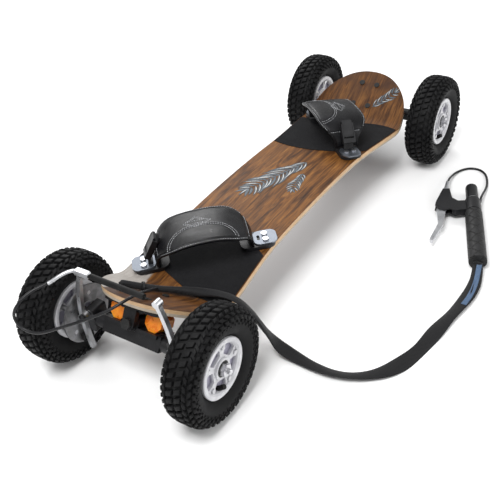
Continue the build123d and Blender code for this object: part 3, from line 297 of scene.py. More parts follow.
def deck_wood():
    s = Surface("deck_wood", (0.3, 0.12, 0.04), Specular_IOR_Level=0.14)
    x, y, z = s.axes()
    along = s.place((1.0, 9.0, 1.0))
    wander = s.noise(9, 4, along, 0.6, 1.2)
    fine = s.noise(55, 6, s.place((0.6, 14.0, 1.0)), 0.7)
    cloud = s.noise(14, 3)
    stain = s.ramp(
        wander,
        (
            (0.28, (0.026, 0.010, 0.003)),
            (0.42, (0.095, 0.036, 0.009)),
            (0.56, (0.195, 0.078, 0.018)),
            (0.75, (0.29, 0.130, 0.032)),
        ),
    )
    pores = s.steps(fine, ((0.42, 0.55), (0.6, 1.0)))
    stain = s.mix(1.0, stain, s.grey(pores), "MULTIPLY")
    # scorched browns toward the tips, a worn grey patch on the left of the tail
    tips = s.steps(s.math("ABSOLUTE", x), ((0.30, 0.0), (0.42, 1.0)))
    scorched = s.math("MULTIPLY", tips, s.steps(cloud, ((0.35, 0.25), (0.6, 0.95))))
    stain = s.mix(scorched, stain, (0.045, 0.020, 0.011))
    worn = blob(s, x, y, (-0.392, 0.084), (0.085, 0.040), cloud, 0.12)
    grey = s.mix(s.steps(fine, ((0.35, 0.0), (0.65, 1.0))), (0.22, 0.20, 0.18), (0.36, 0.335, 0.31))
    top = s.mix(worn, stain, grey)
    # depth below the top surface tells the plies apart
    arch = s.math("SUBTRACT", CROWN, s.math("DIVIDE", s.math("MULTIPLY", x, x), 2 * ARCH_RADIUS))
    beyond = s.math("SUBTRACT", s.math("ABSOLUTE", x), TRUCK_X)
    tip = s.math("ADD", s.math("MULTIPLY", beyond, TIP_SLOPE), TIP_RISE)
    depth = s.math("SUBTRACT", s.math("MAXIMUM", arch, tip), z)
    plies = s.math("PINGPONG", depth, PLY)
    line = s.steps(plies, ((0.0, 0.62), (0.00035, 1.0)))
    ply_grain = s.noise(60, 4, s.place((1.0, 1.0, 12.0)))
    maple = s.mix(s.steps(ply_grain, ((0.3, 0.0), (0.7, 1.0))), (0.50, 0.31, 0.16), (0.69, 0.49, 0.30))
    lower = s.steps(depth, ((LOWER_PLIES, 0.0), (LOWER_PLIES + 0.0008, 1.0)))
    maple = s.mix(lower, maple, (0.42, 0.36, 0.29))
    maple = s.mix(1.0, maple, s.grey(line), "MULTIPLY")
    skin = s.steps(depth, ((0.0007, 1.0), (0.0012, 0.0)))
    side = s.mix(skin, maple, (0.10, 0.045, 0.02))
    facing = s.node("ShaderNodeNewGeometry").outputs["True Normal"]
    upward = s.node("ShaderNodeSeparateXYZ", Vector=facing).outputs[2]
    flat = s.steps(s.math("ABSOLUTE", upward), ((0.45, 0.0), (0.6, 1.0)))
    under = s.steps(upward, ((-0.3, 1.0), (-0.2, 0.0)))
    underside = s.mix(s.steps(wander, ((0.35, 0.0), (0.7, 1.0))), (0.035, 0.016, 0.009), (0.11, 0.045, 0.02))
    s.color(s.mix(under, s.mix(flat, side, top), underside))
    s.rough(s.steps(fine, ((0.3, 0.42), (0.7, 0.6))))
    s.bump(fine, 0.22, 0.0003)
    return s.material


def grit():
    s = Surface("grip_grit", (0.02, 0.02, 0.02), Specular_IOR_Level=0.12)
    speck = s.cells(1500)
    scuff = s.noise(22, 5)
    shade = s.ramp(
        speck,
        ((0.1, (0.035, 0.035, 0.037)), (0.35, (0.010, 0.010, 0.011)), (0.8, (0.004, 0.004, 0.005))),
    )
    s.color(s.mix(s.steps(scuff, ((0.5, 0.0), (0.75, 0.3))), shade, (0.025, 0.025, 0.027)))
    s.rough(s.steps(scuff, ((0.3, 0.72), (0.7, 0.9))))
    s.bump(speck, 0.9, 0.0006)
    return s.material


def leather():
    # tone is the leather's own near-black; high is a lighter, bluish painted sheen
    tone, high = (0.003, 0.003, 0.0035), (0.008, 0.008, 0.0095)
    s = Surface("pad_leather", tone, Specular_IOR_Level=0.2)
    grain = s.cells(520, feature="DISTANCE_TO_EDGE")
    folds_and_sheen = s.noise(30, 4)
    # painted sheen: the folds take the lighter, bluish tone, as highlights on them would
    s.color(s.mix(s.steps(folds_and_sheen, ((0.35, 0.0), (0.7, 1.0))), tone, high))
    s.rough(s.steps(folds_and_sheen, ((0.3, 0.26), (0.7, 0.42))))
    first = s.bump(s.steps(grain, ((0.0, 0.0), (0.12, 1.0))), 0.3, 0.0003)
    s.bump(folds_and_sheen, 0.25, 0.0012, first)
    return s.material


def moulded(name, tone, rough=0.4):
    s = Surface(name, tone, Specular_IOR_Level=0.3)
    cloud = s.noise(50, 4)
    s.color(s.mix(s.steps(cloud, ((0.4, 0.0), (0.75, 1.0))), tone, tuple(v * 1.5 + 0.006 for v in tone)))
    s.rough(s.steps(cloud, ((0.3, rough), (0.7, rough + 0.16))))
    s.bump(s.noise(1200, 2), 0.22, 0.0002)
    return s.material


def woven(name, tone, high, pitch=900):
    turn = radians(45)
    s = Surface(name, tone, Sheen_Weight=0.06, Specular_IOR_Level=0.2)
    threads = []
    for direction in "XY":
        settings = {"wave_type": "BANDS", "bands_direction": direction}
        where = s.place((1, 1, 1), (0, 0, turn))
        wave = s.node("ShaderNodeTexWave", settings, Vector=where, Scale=pitch / 6, Distortion=0.6)
        threads.append(wave.outputs["Fac"])
    weave = s.math("MULTIPLY", *threads)
    lint = s.noise(160, 4)
    s.color(s.mix(s.math("MULTIPLY", weave, s.steps(lint, ((0.35, 0.4), (0.7, 1.0)))), tone, high))
    s.rough(s.steps(lint, ((0.3, 0.6), (0.7, 0.8))))
    s.bump(weave, 0.5, 0.0004)
    return s.material


def urethane():
    s = Surface(
        "orange_urethane",
        (0.9, 0.25, 0.01),
        Transmission_Weight=0.12,
        Subsurface_Weight=0.35,
        Subsurface_Scale=0.01,
        IOR=1.48,
    )
    cloud = s.noise(70, 4)
    s.color(s.mix(s.steps(cloud, ((0.3, 0.0), (0.7, 1.0))), (0.78, 0.16, 0.004), (1.0, 0.36, 0.02)))
    s.rough(s.steps(cloud, ((0.3, 0.22), (0.7, 0.38))))
    s.bump(cloud, 0.2, 0.0006)
    return s.material


KNURL_ROWS = 36.0  # per metre of grip


def grip_rubber():
    """Diamond-knurled handlebar rubber: two sets of slanting grooves in the handle's own directions."""
    s = Surface("grip_rubber", (0.012, 0.012, 0.013), Specular_IOR_Level=0.35)
    c, n = cos(HANDLE_HEADING), sin(HANDLE_HEADING)
    x, y, z = s.axes()
    along = s.math("ADD", s.math("MULTIPLY", x, c), s.math("MULTIPLY", y, n))
    across = s.math("SUBTRACT", s.math("MULTIPLY", y, c), s.math("MULTIPLY", x, n))
    angle = s.math("ARCTAN2", s.math("SUBTRACT", z, HANDLE_HEIGHT), s.math("SUBTRACT", across, HANDLE_ACROSS))
    around = s.math("MULTIPLY", angle, 2 / pi)
    rows = s.math("MULTIPLY", along, KNURL_ROWS)
    one = s.math("PINGPONG", s.math("ADD", rows, around), 0.5)
    two = s.math("PINGPONG", s.math("SUBTRACT", rows, around), 0.5)
    knurl = s.steps(s.math("MINIMUM", one, two), ((0.03, 0.0), (0.10, 1.0)))
    cloud = s.noise(60, 4)
    # painted shade: the raised diamonds take a lighter black and the grooves between them a darker one
    raised = s.math("MULTIPLY", knurl, s.steps(cloud, ((0.3, 0.3), (0.7, 1.0))))
    s.color(s.mix(raised, (0.003, 0.003, 0.003), (0.013, 0.013, 0.014)))
    s.rough(s.steps(cloud, ((0.3, 0.5), (0.7, 0.68))))
    s.bump(knurl, 1.0, 0.0016)
    return s.material


MATERIALS = {
    "tyre_rubber": rubber("tyre_rubber", (0.004, 0.004, 0.0044), 0.006, 0.5),
    "tube_rubber": rubber("tube_rubber", (0.01, 0.01, 0.01), 0.01),
    "hub_alloy": hub_paint(),
    "bright_steel": metal("bright_steel", (0.62, 0.62, 0.64), 0.26),
    "disc_steel": turned_disc("disc_steel"),
    "black_steel": painted("black_steel", (0.012, 0.012, 0.012), 0.3, 0.2),
    "plate_steel": metal("plate_steel", (0.22, 0.24, 0.275), 0.42, (1, 6, 1)),
    "black_metal": painted("black_metal", (0.006, 0.006, 0.007), 0.36, 0.25),
    "orange_urethane": urethane(),
    "bush_plastic": moulded("bush_plastic", (0.08, 0.08, 0.08)),
    "deck_wood": deck_wood(),
    "grip_grit": grit(),
    "pad_leather": leather(),
    "black_plastic": moulded("black_plastic", (0.006, 0.006, 0.007), 0.34),
    "silver_alloy": metal("silver_alloy", (0.60, 0.61, 0.63), 0.30, (1, 1, 0.3), 0.1, 500),
    "black_rubber": rubber("black_rubber", (0.006, 0.006, 0.006), 0.008, 0.45),
    "cable_plastic": moulded("cable_plastic", (0.005, 0.005, 0.006), 0.3),
    "webbing": woven("webbing", (0.004, 0.004, 0.0045), (0.022, 0.022, 0.024)),
}
for part in frame["record"]["subparts"]:
    node = frame["nodes"].get(part["node"])
    if node:
        node.data.materials.clear()
        node.data.materials.append(MATERIALS[part["material_slot"]])
frame["nodes"]["handle_grip"].data.materials[0] = grip_rubber()
for wheel in ("front_left", "front_right", "rear_left", "rear_right"):
    frame["nodes"][wheel + "_bearings"].data.materials[0] = MATERIALS["black_plastic"]


# ---------------------------------------------------------------- mesh helpers
def new_object(name, mesh, material, body=None):
    made = bpy.data.objects.new(name, mesh)
    bpy.context.scene.collection.objects.link(made)
    mesh.materials.append(material)
    if body:
        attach(made, body)
    return made


def mesh_of(name, points, faces, smooth=True):
    mesh = bpy.data.meshes.new(name)
    mesh.from_pydata([tuple(p) for p in points], [], faces)
    if smooth:
        mesh.shade_smooth()
    return mesh


def tube_faces(rings, sides, closed_ring=False):
    """Faces between rings of points, closed by two caps or into a ring."""
    faces = []
    for i in range(rings if closed_ring else rings - 1):
        for k in range(sides):
            a, b = i * sides + k, i * sides + (k + 1) % sides
            c, d = ((i + 1) % rings) * sides + (k + 1) % sides, ((i + 1) % rings) * sides + k
            faces.append((a, b, c, d))
    if not closed_ring:
        faces.append(tuple(range(sides - 1, -1, -1)))
        faces.append(tuple(range((rings - 1) * sides, rings * sides)))
    return faces


def apply_all(made):
    """Bake an object's modifiers into its mesh."""
    graph = bpy.context.evaluated_depsgraph_get()
    baked = bpy.data.meshes.new_from_object(made.evaluated_get(graph))
    made.modifiers.clear()
    made.data = baked


def face_outward(mesh):
    fix = bmesh.new()
    fix.from_mesh(mesh)
    bmesh.ops.recalc_face_normals(fix, faces=fix.faces)
    fix.to_mesh(mesh)
    fix.free()


def round_edges(made, width, segments, least_angle):
    """Bevel an object's sharp edges, bake that in and shade it smooth."""
    bevel = made.modifiers.new("bevel", "BEVEL")
    bevel.width = width
    bevel.segments = segments
    bevel.limit_method = "ANGLE"
    bevel.angle_limit = least_angle
    apply_all(made)
    made.data.shade_smooth()


def unit_frames(path):
    """A tangent, side and up vector at each point of a path, carried along without twist."""
    frames = []
    side = None
    for i, point in enumerate(path):
        ahead = path[min(i + 1, len(path) - 1)] - path[max(i - 1, 0)]
        ahead.normalize()
        if side is None:
            side = ahead.cross(Vector((0, 0, 1)))
            if side.length < 1e-3:
                side = Vector((0, 1, 0))
        side = (side - ahead * side.dot(ahead)).normalized()
        frames.append((ahead, side, side.cross(ahead)))
    return frames


# ---------------------------------------------------------------- cords
def spline_of(name, route):
    curve = bpy.data.curves.new(name, "CURVE")
    curve.dimensions = "3D"
    spline = curve.splines.new("NURBS")
    spline.points.add(len(route) - 1)
    for point, place in zip(spline.points, route):
        point.co = (*(v * MM for v in place), 1)
    spline.order_u = 3
    spline.use_endpoint_u = True
    spline.resolution_u = 12
    return curve


def spline_points(name, route):
    """Points along the smooth line of a route."""
    curve = spline_of(name + "_line", route)
    holder = bpy.data.objects.new(name + "_line", curve)
    bpy.context.scene.collection.objects.link(holder)
    graph = bpy.context.evaluated_depsgraph_get()
    line = bpy.data.meshes.new_from_object(holder.evaluated_get(graph))
    points = [v.co.copy() for v in line.vertices]
    bpy.data.objects.remove(holder)
    return points


def length_of(points):
    return sum((b - a).length for a, b in zip(points, points[1:]))


def on_handle(along, across, z):
    """Point in mm from the handle's lower end: along it, to its left, and its height."""
    x = HANDLE_END[0] + along * cos(HANDLE_HEADING) - across * sin(HANDLE_HEADING)
    y = HANDLE_END[1] + along * sin(HANDLE_HEADING) + across * cos(HANDLE_HEADING)
    return (x, y, z)


BRAKE_CABLE_ROUTE = [
    (-492.5, 116, 197.8), (-509, 126.5, 195.5), (-525, 133, 191), (-539, 138, 183), (-546, 145.5, 168.5),
    (-547, 147, 151.5), (-545, 138, 137.5), (-542, 120, 132.5), (-538, 101, 137), (-530, 77, 149),
    (-518, 50, 161), (-503, 24, 172), (-486, 1, 182.5), (-467, -13, 190), (-446, -20, 191.5),
    (-426, -20, 184), (-407, -16, 172), (-390, -10, 160), (-378, -6, 151),
]
SLEEVE_ROUTE = [
    (-412, 44, 169), (-396, 26, 159), (-376, 6, 146), (-353, -13, 133), (-337, -36, 127),
    (-329, -62, 128), (-325, -90, 133.5), (-320, -113, 130.5), (-314, -131, 116), (-307, -143, 93),
    (-299, -151, 67), (-291, -160, 42), (-286, -170, 23), (-283, -187, 11), (-284, -208, 6.6),
    (-288, -238, 6.2), (-288, -273, 6.2), (-277, -310, 6.2), (-253, -343, 6.2), (-219, -365, 6.2),
    (-178, -378, 6.2), (-136, -383, 6.2), (-92, -388, 6.2), (-48, -395, 6.2), (-8, -400, 6.4),
    (27, -401, 8.5), (58, -396, 13), (87.3, -386.6, 17.2),
]
HANDLE_CABLE_ROUTE = [
    (284.6, 48.6, 17.4), (305, 44.8, 14), (325, 38.5, 9), (346, 29, 5), (364, 13, 3), (372, -6, 2.7),
    (366, -25, 2.6), (348, -36, 2.6), (324, -38, 2.8), (297, -36, 4.5), (271, -30, 9), (248, -23, 13),
    (228, -18, 16.5), (208.7, -15.4, 17.4),
]
CABLE_DIAMETER = 0.005


def make_handle_cable():
    route = [on_handle(*p) for p in HANDLE_CABLE_ROUTE]
    curve = spline_of("handle_cable_loop", route)
    curve.bevel_depth = CABLE_DIAMETER / 2
    curve.bevel_resolution = 4
    curve.use_fill_caps = True
    curve.materials.append(MATERIALS["cable_plastic"])
    cable = bpy.data.objects.new("handle_cable_loop", curve)
    bpy.context.scene.collection.objects.link(cable)
    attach(cable, ROOT)
    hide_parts("handle_cable")
    line = spline_points("handle_cable", route)


def make_brake_cable():
    line = spline_points("brake_cable", BRAKE_CABLE_ROUTE)
    sides = 14
    points = []
    for place, (_, side, up) in zip(line, unit_frames(line)):
        for k in range(sides):
            turn = 2 * pi * k / sides
            points.append(place + (side * cos(turn) + up * sin(turn)) * CABLE_DIAMETER / 2)
    mesh = mesh_of("brake_cable_loop", points, tube_faces(len(line), sides))
    cable = new_object("brake_cable_loop", mesh, MATERIALS["cable_plastic"])
    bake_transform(cable)
    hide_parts("brake_cable")


WEB_WIDTH = 0.025
WEB_THICKNESS = 0.0075
FLOOR_GAP = 0.0004
TIE_X = -0.386
RIBBON_WIDTH = 0.0095
RIBBON_FROM, RIBBON_TO = 0.86, 0.992  # shares of the webbing's length


def make_webbing():
    """Flat tubular webbing round the cable: a soft lens section that turns over as it goes."""
    line = spline_points("webbing", SLEEVE_ROUTE)
    total = length_of(line)
    sides = 24
    points = []
    gone = 0.0
    frames = unit_frames(line)
    for i, (place, (ahead, side, _)) in enumerate(zip(line, frames)):
        if i:
            gone += (place - line[i - 1]).length
        share = gone / total
        twist = 0.35 * sin(gone * 24.0) + 0.25 * sin(gone * 11.0 + 1.0)
        flat = Vector((0, 0, 1)).cross(ahead)
        flat = flat.normalized() if flat.length > 0.2 else side
        grow = min(max((share - 0.10) / 0.16, 0.0), 1.0)
        narrow = min(0.46 + 0.54 * grow, 0.70 + 0.30 * min((1 - share) / 0.07, 1.0))
        across = (flat * cos(twist) + ahead.cross(flat) * sin(twist)).normalized()
        out = ahead.cross(across)
        close = min(share / 0.006, 1.0) ** 0.5
        width = WEB_WIDTH / 2 * narrow * close * (1 + 0.06 * sin(gone * 60))
        thick = WEB_THICKNESS / 2 * (1.55 - 0.55 * grow) * close * (1 + 0.25 * sin(gone * 47 + 2))
        for k in range(sides):
            turn = 2 * pi * k / sides
            c, s = cos(turn), sin(turn)
            wide = width * (abs(c) ** 0.8) * (1 if c >= 0 else -1)
            high = thick * (abs(s) ** 0.9) * (1 if s >= 0 else -1) * (0.55 + 0.45 * (1 - abs(c) ** 3))
            point = place + across * wide + out * high
            point.z = max(point.z, FLOOR_GAP)
            points.append(point)
    mesh = mesh_of("webbing_run", points, tube_faces(len(line), sides))
    webbing = new_object("webbing_run", mesh, MATERIALS["webbing"], ROOT)
    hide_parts("webbing_sleeve")
    make_ribbon(line, frames, total)
    tie_at = min(range(len(line)), key=lambda i: abs(line[i].x - TIE_X))
    make_tie(line[tie_at], frames[tie_at][0])


def make_ribbon(line, frames, total):
    """A coloured ribbon that lies along the last of the webbing."""
    points, gone = [], 0.0
    for i, (place, (ahead, _, _)) in enumerate(zip(line, frames)):
        if i:
            gone += (place - line[i - 1]).length
        if not RIBBON_FROM <= gone / total <= RIBBON_TO:
            continue
        flat = Vector((0, 0, 1)).cross(ahead).normalized()
        out = ahead.cross(flat)
        shift = -0.0035 + 0.002 * sin(gone * 40)
        for k in range(5):
            across = (k / 4 - 0.5) * RIBBON_WIDTH + shift
            points.append(place + flat * across + out * (0.0051 + 0.0006 * cos(k * 1.2)))
        for k in range(5):
            across = ((4 - k) / 4 - 0.5) * RIBBON_WIDTH + shift
            points.append(place + flat * across + out * 0.0040)
    mesh = mesh_of("blue_ribbon", points, tube_faces(len(points) // 10, 10))
    blue = woven("ribbon_blue", (0.04, 0.075, 0.14), (0.20, 0.28, 0.40), 1400)
    new_object("blue_ribbon", mesh, blue, ROOT)


def make_tie(centre, ahead):
    """Cable tie that holds the webbing and the cable together on the tail."""
    side = ahead.cross(Vector((0, 0, 1))).normalized()
    up = side.cross(ahead)
    around, points = 28, []
    for i in range(around):
        turn = 2 * pi * i / around
        out = side * cos(turn) * 0.0088 + up * sin(turn) * 0.0072
        thin = out.normalized() * 0.0007
        for a, b in ((-1, -1), (1, -1), (1, 1), (-1, 1)):
            points.append(centre + out + thin * b + ahead * 0.0019 * a)
    mesh = mesh_of("cable_tie", points, tube_faces(around, 4, closed_ring=True), False)
    tie = new_object("cable_tie", mesh, MATERIALS["black_plastic"], ROOT)
    bevel = tie.modifiers.new("bevel", "BEVEL")
    bevel.width = 0.0002


make_handle_cable()
make_brake_cable()
make_webbing()


# ---------------------------------------------------------------- tyres
# radius and distance from the mid-plane, from the bead to the crown
TYRE_SECTION = [
    (0.0525, 0.0172),
    (0.0580, 0.0232),
    (0.0660, 0.0277),
    (0.0740, 0.0292),
    (0.0815, 0.0280),
    (0.0880, 0.0248),
    (0.0920, 0.0195),
    (0.0938, 0.0125),
    (0.0942, 0.0),
]
TREAD_COUNT = 42
# each row of blocks: turn and half-angle in steps, start and end across, height, skew, cuts
TREAD_ROWS = [
    (0.0, 0.32, 0.015, 0.130, 0.0050, 0.05, 2),
    (0.5, 0.31, 0.150, 0.255, 0.0050, -0.05, 2),
    (0.0, 0.30, 0.275, 0.375, 0.0048, 0.04, 2),
    (0.5, 0.33, 0.390, 0.500, 0.0044, 0.0, 3),
    (0.0, 0.24, 0.470, 0.575, 0.0026, 0.0, 2),
    (0.5, 0.15, 0.560, 0.640, 0.0014, 0.0, 2),
]


def section_at(t):
    """Point and outward direction on the carcass: t is 0 at the crown, 1 and -1 at the beads."""
    place = (1 - abs(t)) * (len(TYRE_SECTION) - 1)
    i = min(int(place), len(TYRE_SECTION) - 2)
    f = place - i
    a, b = TYRE_SECTION[i], TYRE_SECTION[i + 1]
    r, y = a[0] + (b[0] - a[0]) * f, a[1] + (b[1] - a[1]) * f
    dr, dy = b[0] - a[0], b[1] - a[1]
    size = sqrt(dr * dr + dy * dy)
    side = 1 if t >= 0 else -1
    return r, y * side, -dy / size, dr / size * side


def round_point(r, y, angle):
    return Vector((r * cos(angle), y, r * sin(angle)))


def tyre_mesh():
    around, places = 120, 14
    profile = [section_at(t / places) for t in range(places, -places - 1, -1)]
    inner = [(0.0455, -0.0168), (0.0455, 0.0168)]
    ring = [(r, y) for r, y, _, _ in profile] + inner
    points, faces = [], []
    for i in range(around):
        for r, y in ring:
            points.append(round_point(r, y, 2 * pi * i / around))
    n = len(ring)
    for i in range(around):
        j = (i + 1) % around
        for k in range(n):
            m = (k + 1) % n
            faces.append((i * n + k, i * n + m, j * n + m, j * n + k))

    def block(angle, half_angle, t0, t1, height, skew, cuts):
        """A raised rubber block between two places of the section."""
        base = len(points)
        for level, shrink in ((-0.0008, 1.0), (height, 0.86)):
            for k in range(cuts + 1):
                f = k / cuts
                f = 0.5 + (f - 0.5) * shrink
                r, y, nr, ny = section_at(t0 + (t1 - t0) * f)
                for side in (-1, 1):
                    a = angle + side * half_angle * shrink + skew * (f - 0.5)
                    points.append(round_point(r + nr * level, y + ny * level, a))
        row = 2 * (cuts + 1)
        low, high = base, base + row
        for k in range(cuts):
            faces.append((high + 2 * k, high + 2 * k + 1, high + 2 * k + 3, high + 2 * k + 2))
            faces.append((low + 2 * k, high + 2 * k, high + 2 * k + 2, low + 2 * k + 2))
            faces.append((low + 2 * k + 1, low + 2 * k + 3, high + 2 * k + 3, high + 2 * k + 1))
        faces.append((low, low + 1, high + 1, high))
        e = 2 * cuts
        faces.append((low + e, high + e, high + e + 1, low + e + 1))

    step = 2 * pi / TREAD_COUNT
    for i in range(TREAD_COUNT):
        for side in (1, -1):
            start = i * step + (0.5 * step if side < 0 else 0)
            for turn, half, near, far, height, skew, cuts in TREAD_ROWS:
                block(start + turn * step, step * half, side * near, side * far, height, side * skew, cuts)
    mesh = mesh_of("treaded_tyre", points, faces, smooth=False)
    made = bpy.data.objects.new("treaded_tyre", mesh)
    bpy.context.scene.collection.objects.link(made)
    face_outward(mesh)
    round_edges(made, 0.0006, 2, radians(40))
    baked = made.data
    bpy.data.objects.remove(made)
    return baked


WHEELS = {
    "front_left": (AXLE_X, HALF_TRACK),
    "front_right": (AXLE_X, -HALF_TRACK),
    "rear_left": (-AXLE_X, HALF_TRACK),
    "rear_right": (-AXLE_X, -HALF_TRACK),
}


def make_tyres():
    mesh = tyre_mesh()
    mesh.materials.append(MATERIALS["tyre_rubber"])
    for i, (name, (x, y)) in enumerate(WHEELS.items()):
        tyre = bpy.data.objects.new(name + "_treaded_tyre", mesh)
        bpy.context.scene.collection.objects.link(tyre)
        tyre.matrix_world = Matrix.Translation((x, y, AXLE_HEIGHT)) @ Matrix.Rotation(i * pi / 2, 4, "Y")
        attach(tyre, name + "_wheel")
        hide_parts(name + "_tyre")


make_tyres()


# ---------------------------------------------------------------- shock blocks
LONGEST_EDGE = 0.0045


def make_shocks():
    for name, end in (("front", 1), ("rear", -1)):
        source = frame["nodes"][name + "_shock_blocks"]
        mesh = source.data.copy()
        shape = bmesh.new()
        shape.from_mesh(mesh)
        bmesh.ops.remove_doubles(shape, verts=shape.verts, dist=1e-6)
        bmesh.ops.triangulate(shape, faces=shape.faces)
        for _ in range(3):
            longest = [e for e in shape.edges if e.calc_length() > LONGEST_EDGE]
            bmesh.ops.subdivide_edges(shape, edges=longest, cuts=1, use_grid_fill=True)
            bmesh.ops.triangulate(shape, faces=[f for f in shape.faces if len(f.verts) > 3])
        shape.to_mesh(mesh)
        shape.free()
        mesh.materials.clear()
        made = new_object(name + "_soft_shocks", mesh, MATERIALS["orange_urethane"])
        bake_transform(made)
        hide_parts(name + "_shock_blocks")


make_shocks()


# ---------------------------------------------------------------- binding pads
BINDINGS = {"rear": (-0.238, radians(180 - 47.5)), "front": (0.238, radians(180 + 47.5))}
PAD_FOOT = 0.0115
PAD_SPAN = 0.088
PAD_TOP = 0.066
PAD_HALF_WIDTH = 0.052
PAD_DEPTH = 0.0105
PAD_END_HALF_WIDTH = 0.024
PAD_SINK, PAD_CROWN, PAD_SEAM = 0.0022, 0.0030, 0.0016  # how the padding swells between its seams
ARC_SPAN, ARC_REACH = 0.40, 0.95  # stitched arc on the toe side
SIDE_SEAM, EDGE_SEAM = 0.66, 0.90
THREAD_RADIUS = 0.00042
STITCH_PITCH = 0.0042
STITCH_LENGTH = 0.0026
STITCH_STEP = 0.0004
BADGE = (0.02, -0.18)


def binding_axes(name):
    """Origin on the deck, and the strap, up and foot directions of a binding."""
    x, heading = BINDINGS[name]
    lean = asin(x / ARCH_RADIUS)
    up = Vector((sin(lean), 0, cos(lean)))
    strap = Vector((cos(heading), sin(heading), 0))
    strap = (strap - up * strap.dot(up)).normalized()
    return Vector((x, 0, deck_top(x))), strap, up, up.cross(strap)


def pad_line(s, lift=0.0):
    """Arch of the pad's outer face: s runs from -1 at one foot to 1 at the other."""
    angle = s * radians(90)
    flat = 2.5
    c, w = cos(angle), sin(angle)
    across = (abs(w) ** (2 / flat)) * (1 if w >= 0 else -1) * (PAD_SPAN + lift)
    high = PAD_FOOT + (max(c, 0.0) ** (2 / flat)) * (PAD_TOP - PAD_FOOT + lift)
    return across, high


def pad_half_width(s):
    """The pad is wide over the foot and narrows to its ends."""
    a = abs(s)
    if a < 0.30:
        return PAD_HALF_WIDTH
    f = (a - 0.30) / 0.70
    f = f * f * (3 - 2 * f)
    return PAD_HALF_WIDTH + (PAD_END_HALF_WIDTH - PAD_HALF_WIDTH) * f


def seam_depth(s, t, toe):
    """How deep the seams and channels press into the pad at a place."""
    press = 0.0
    arc = sqrt((s / ARC_SPAN) ** 2 + ((t - toe) / ARC_REACH) ** 2)
    seams = [(arc - 1.0, 0.030), (abs(s) - SIDE_SEAM, 0.022), (abs(t) - EDGE_SEAM, 0.045)]
    for distance, width in seams:
        press = max(press, 1 - min(abs(distance) / width, 1.0))
    raised = 0.0
    if arc < 1.0:
        raised = 0.45 * (1 - arc) ** 0.5
    return press * press * (3 - 2 * press) - raised


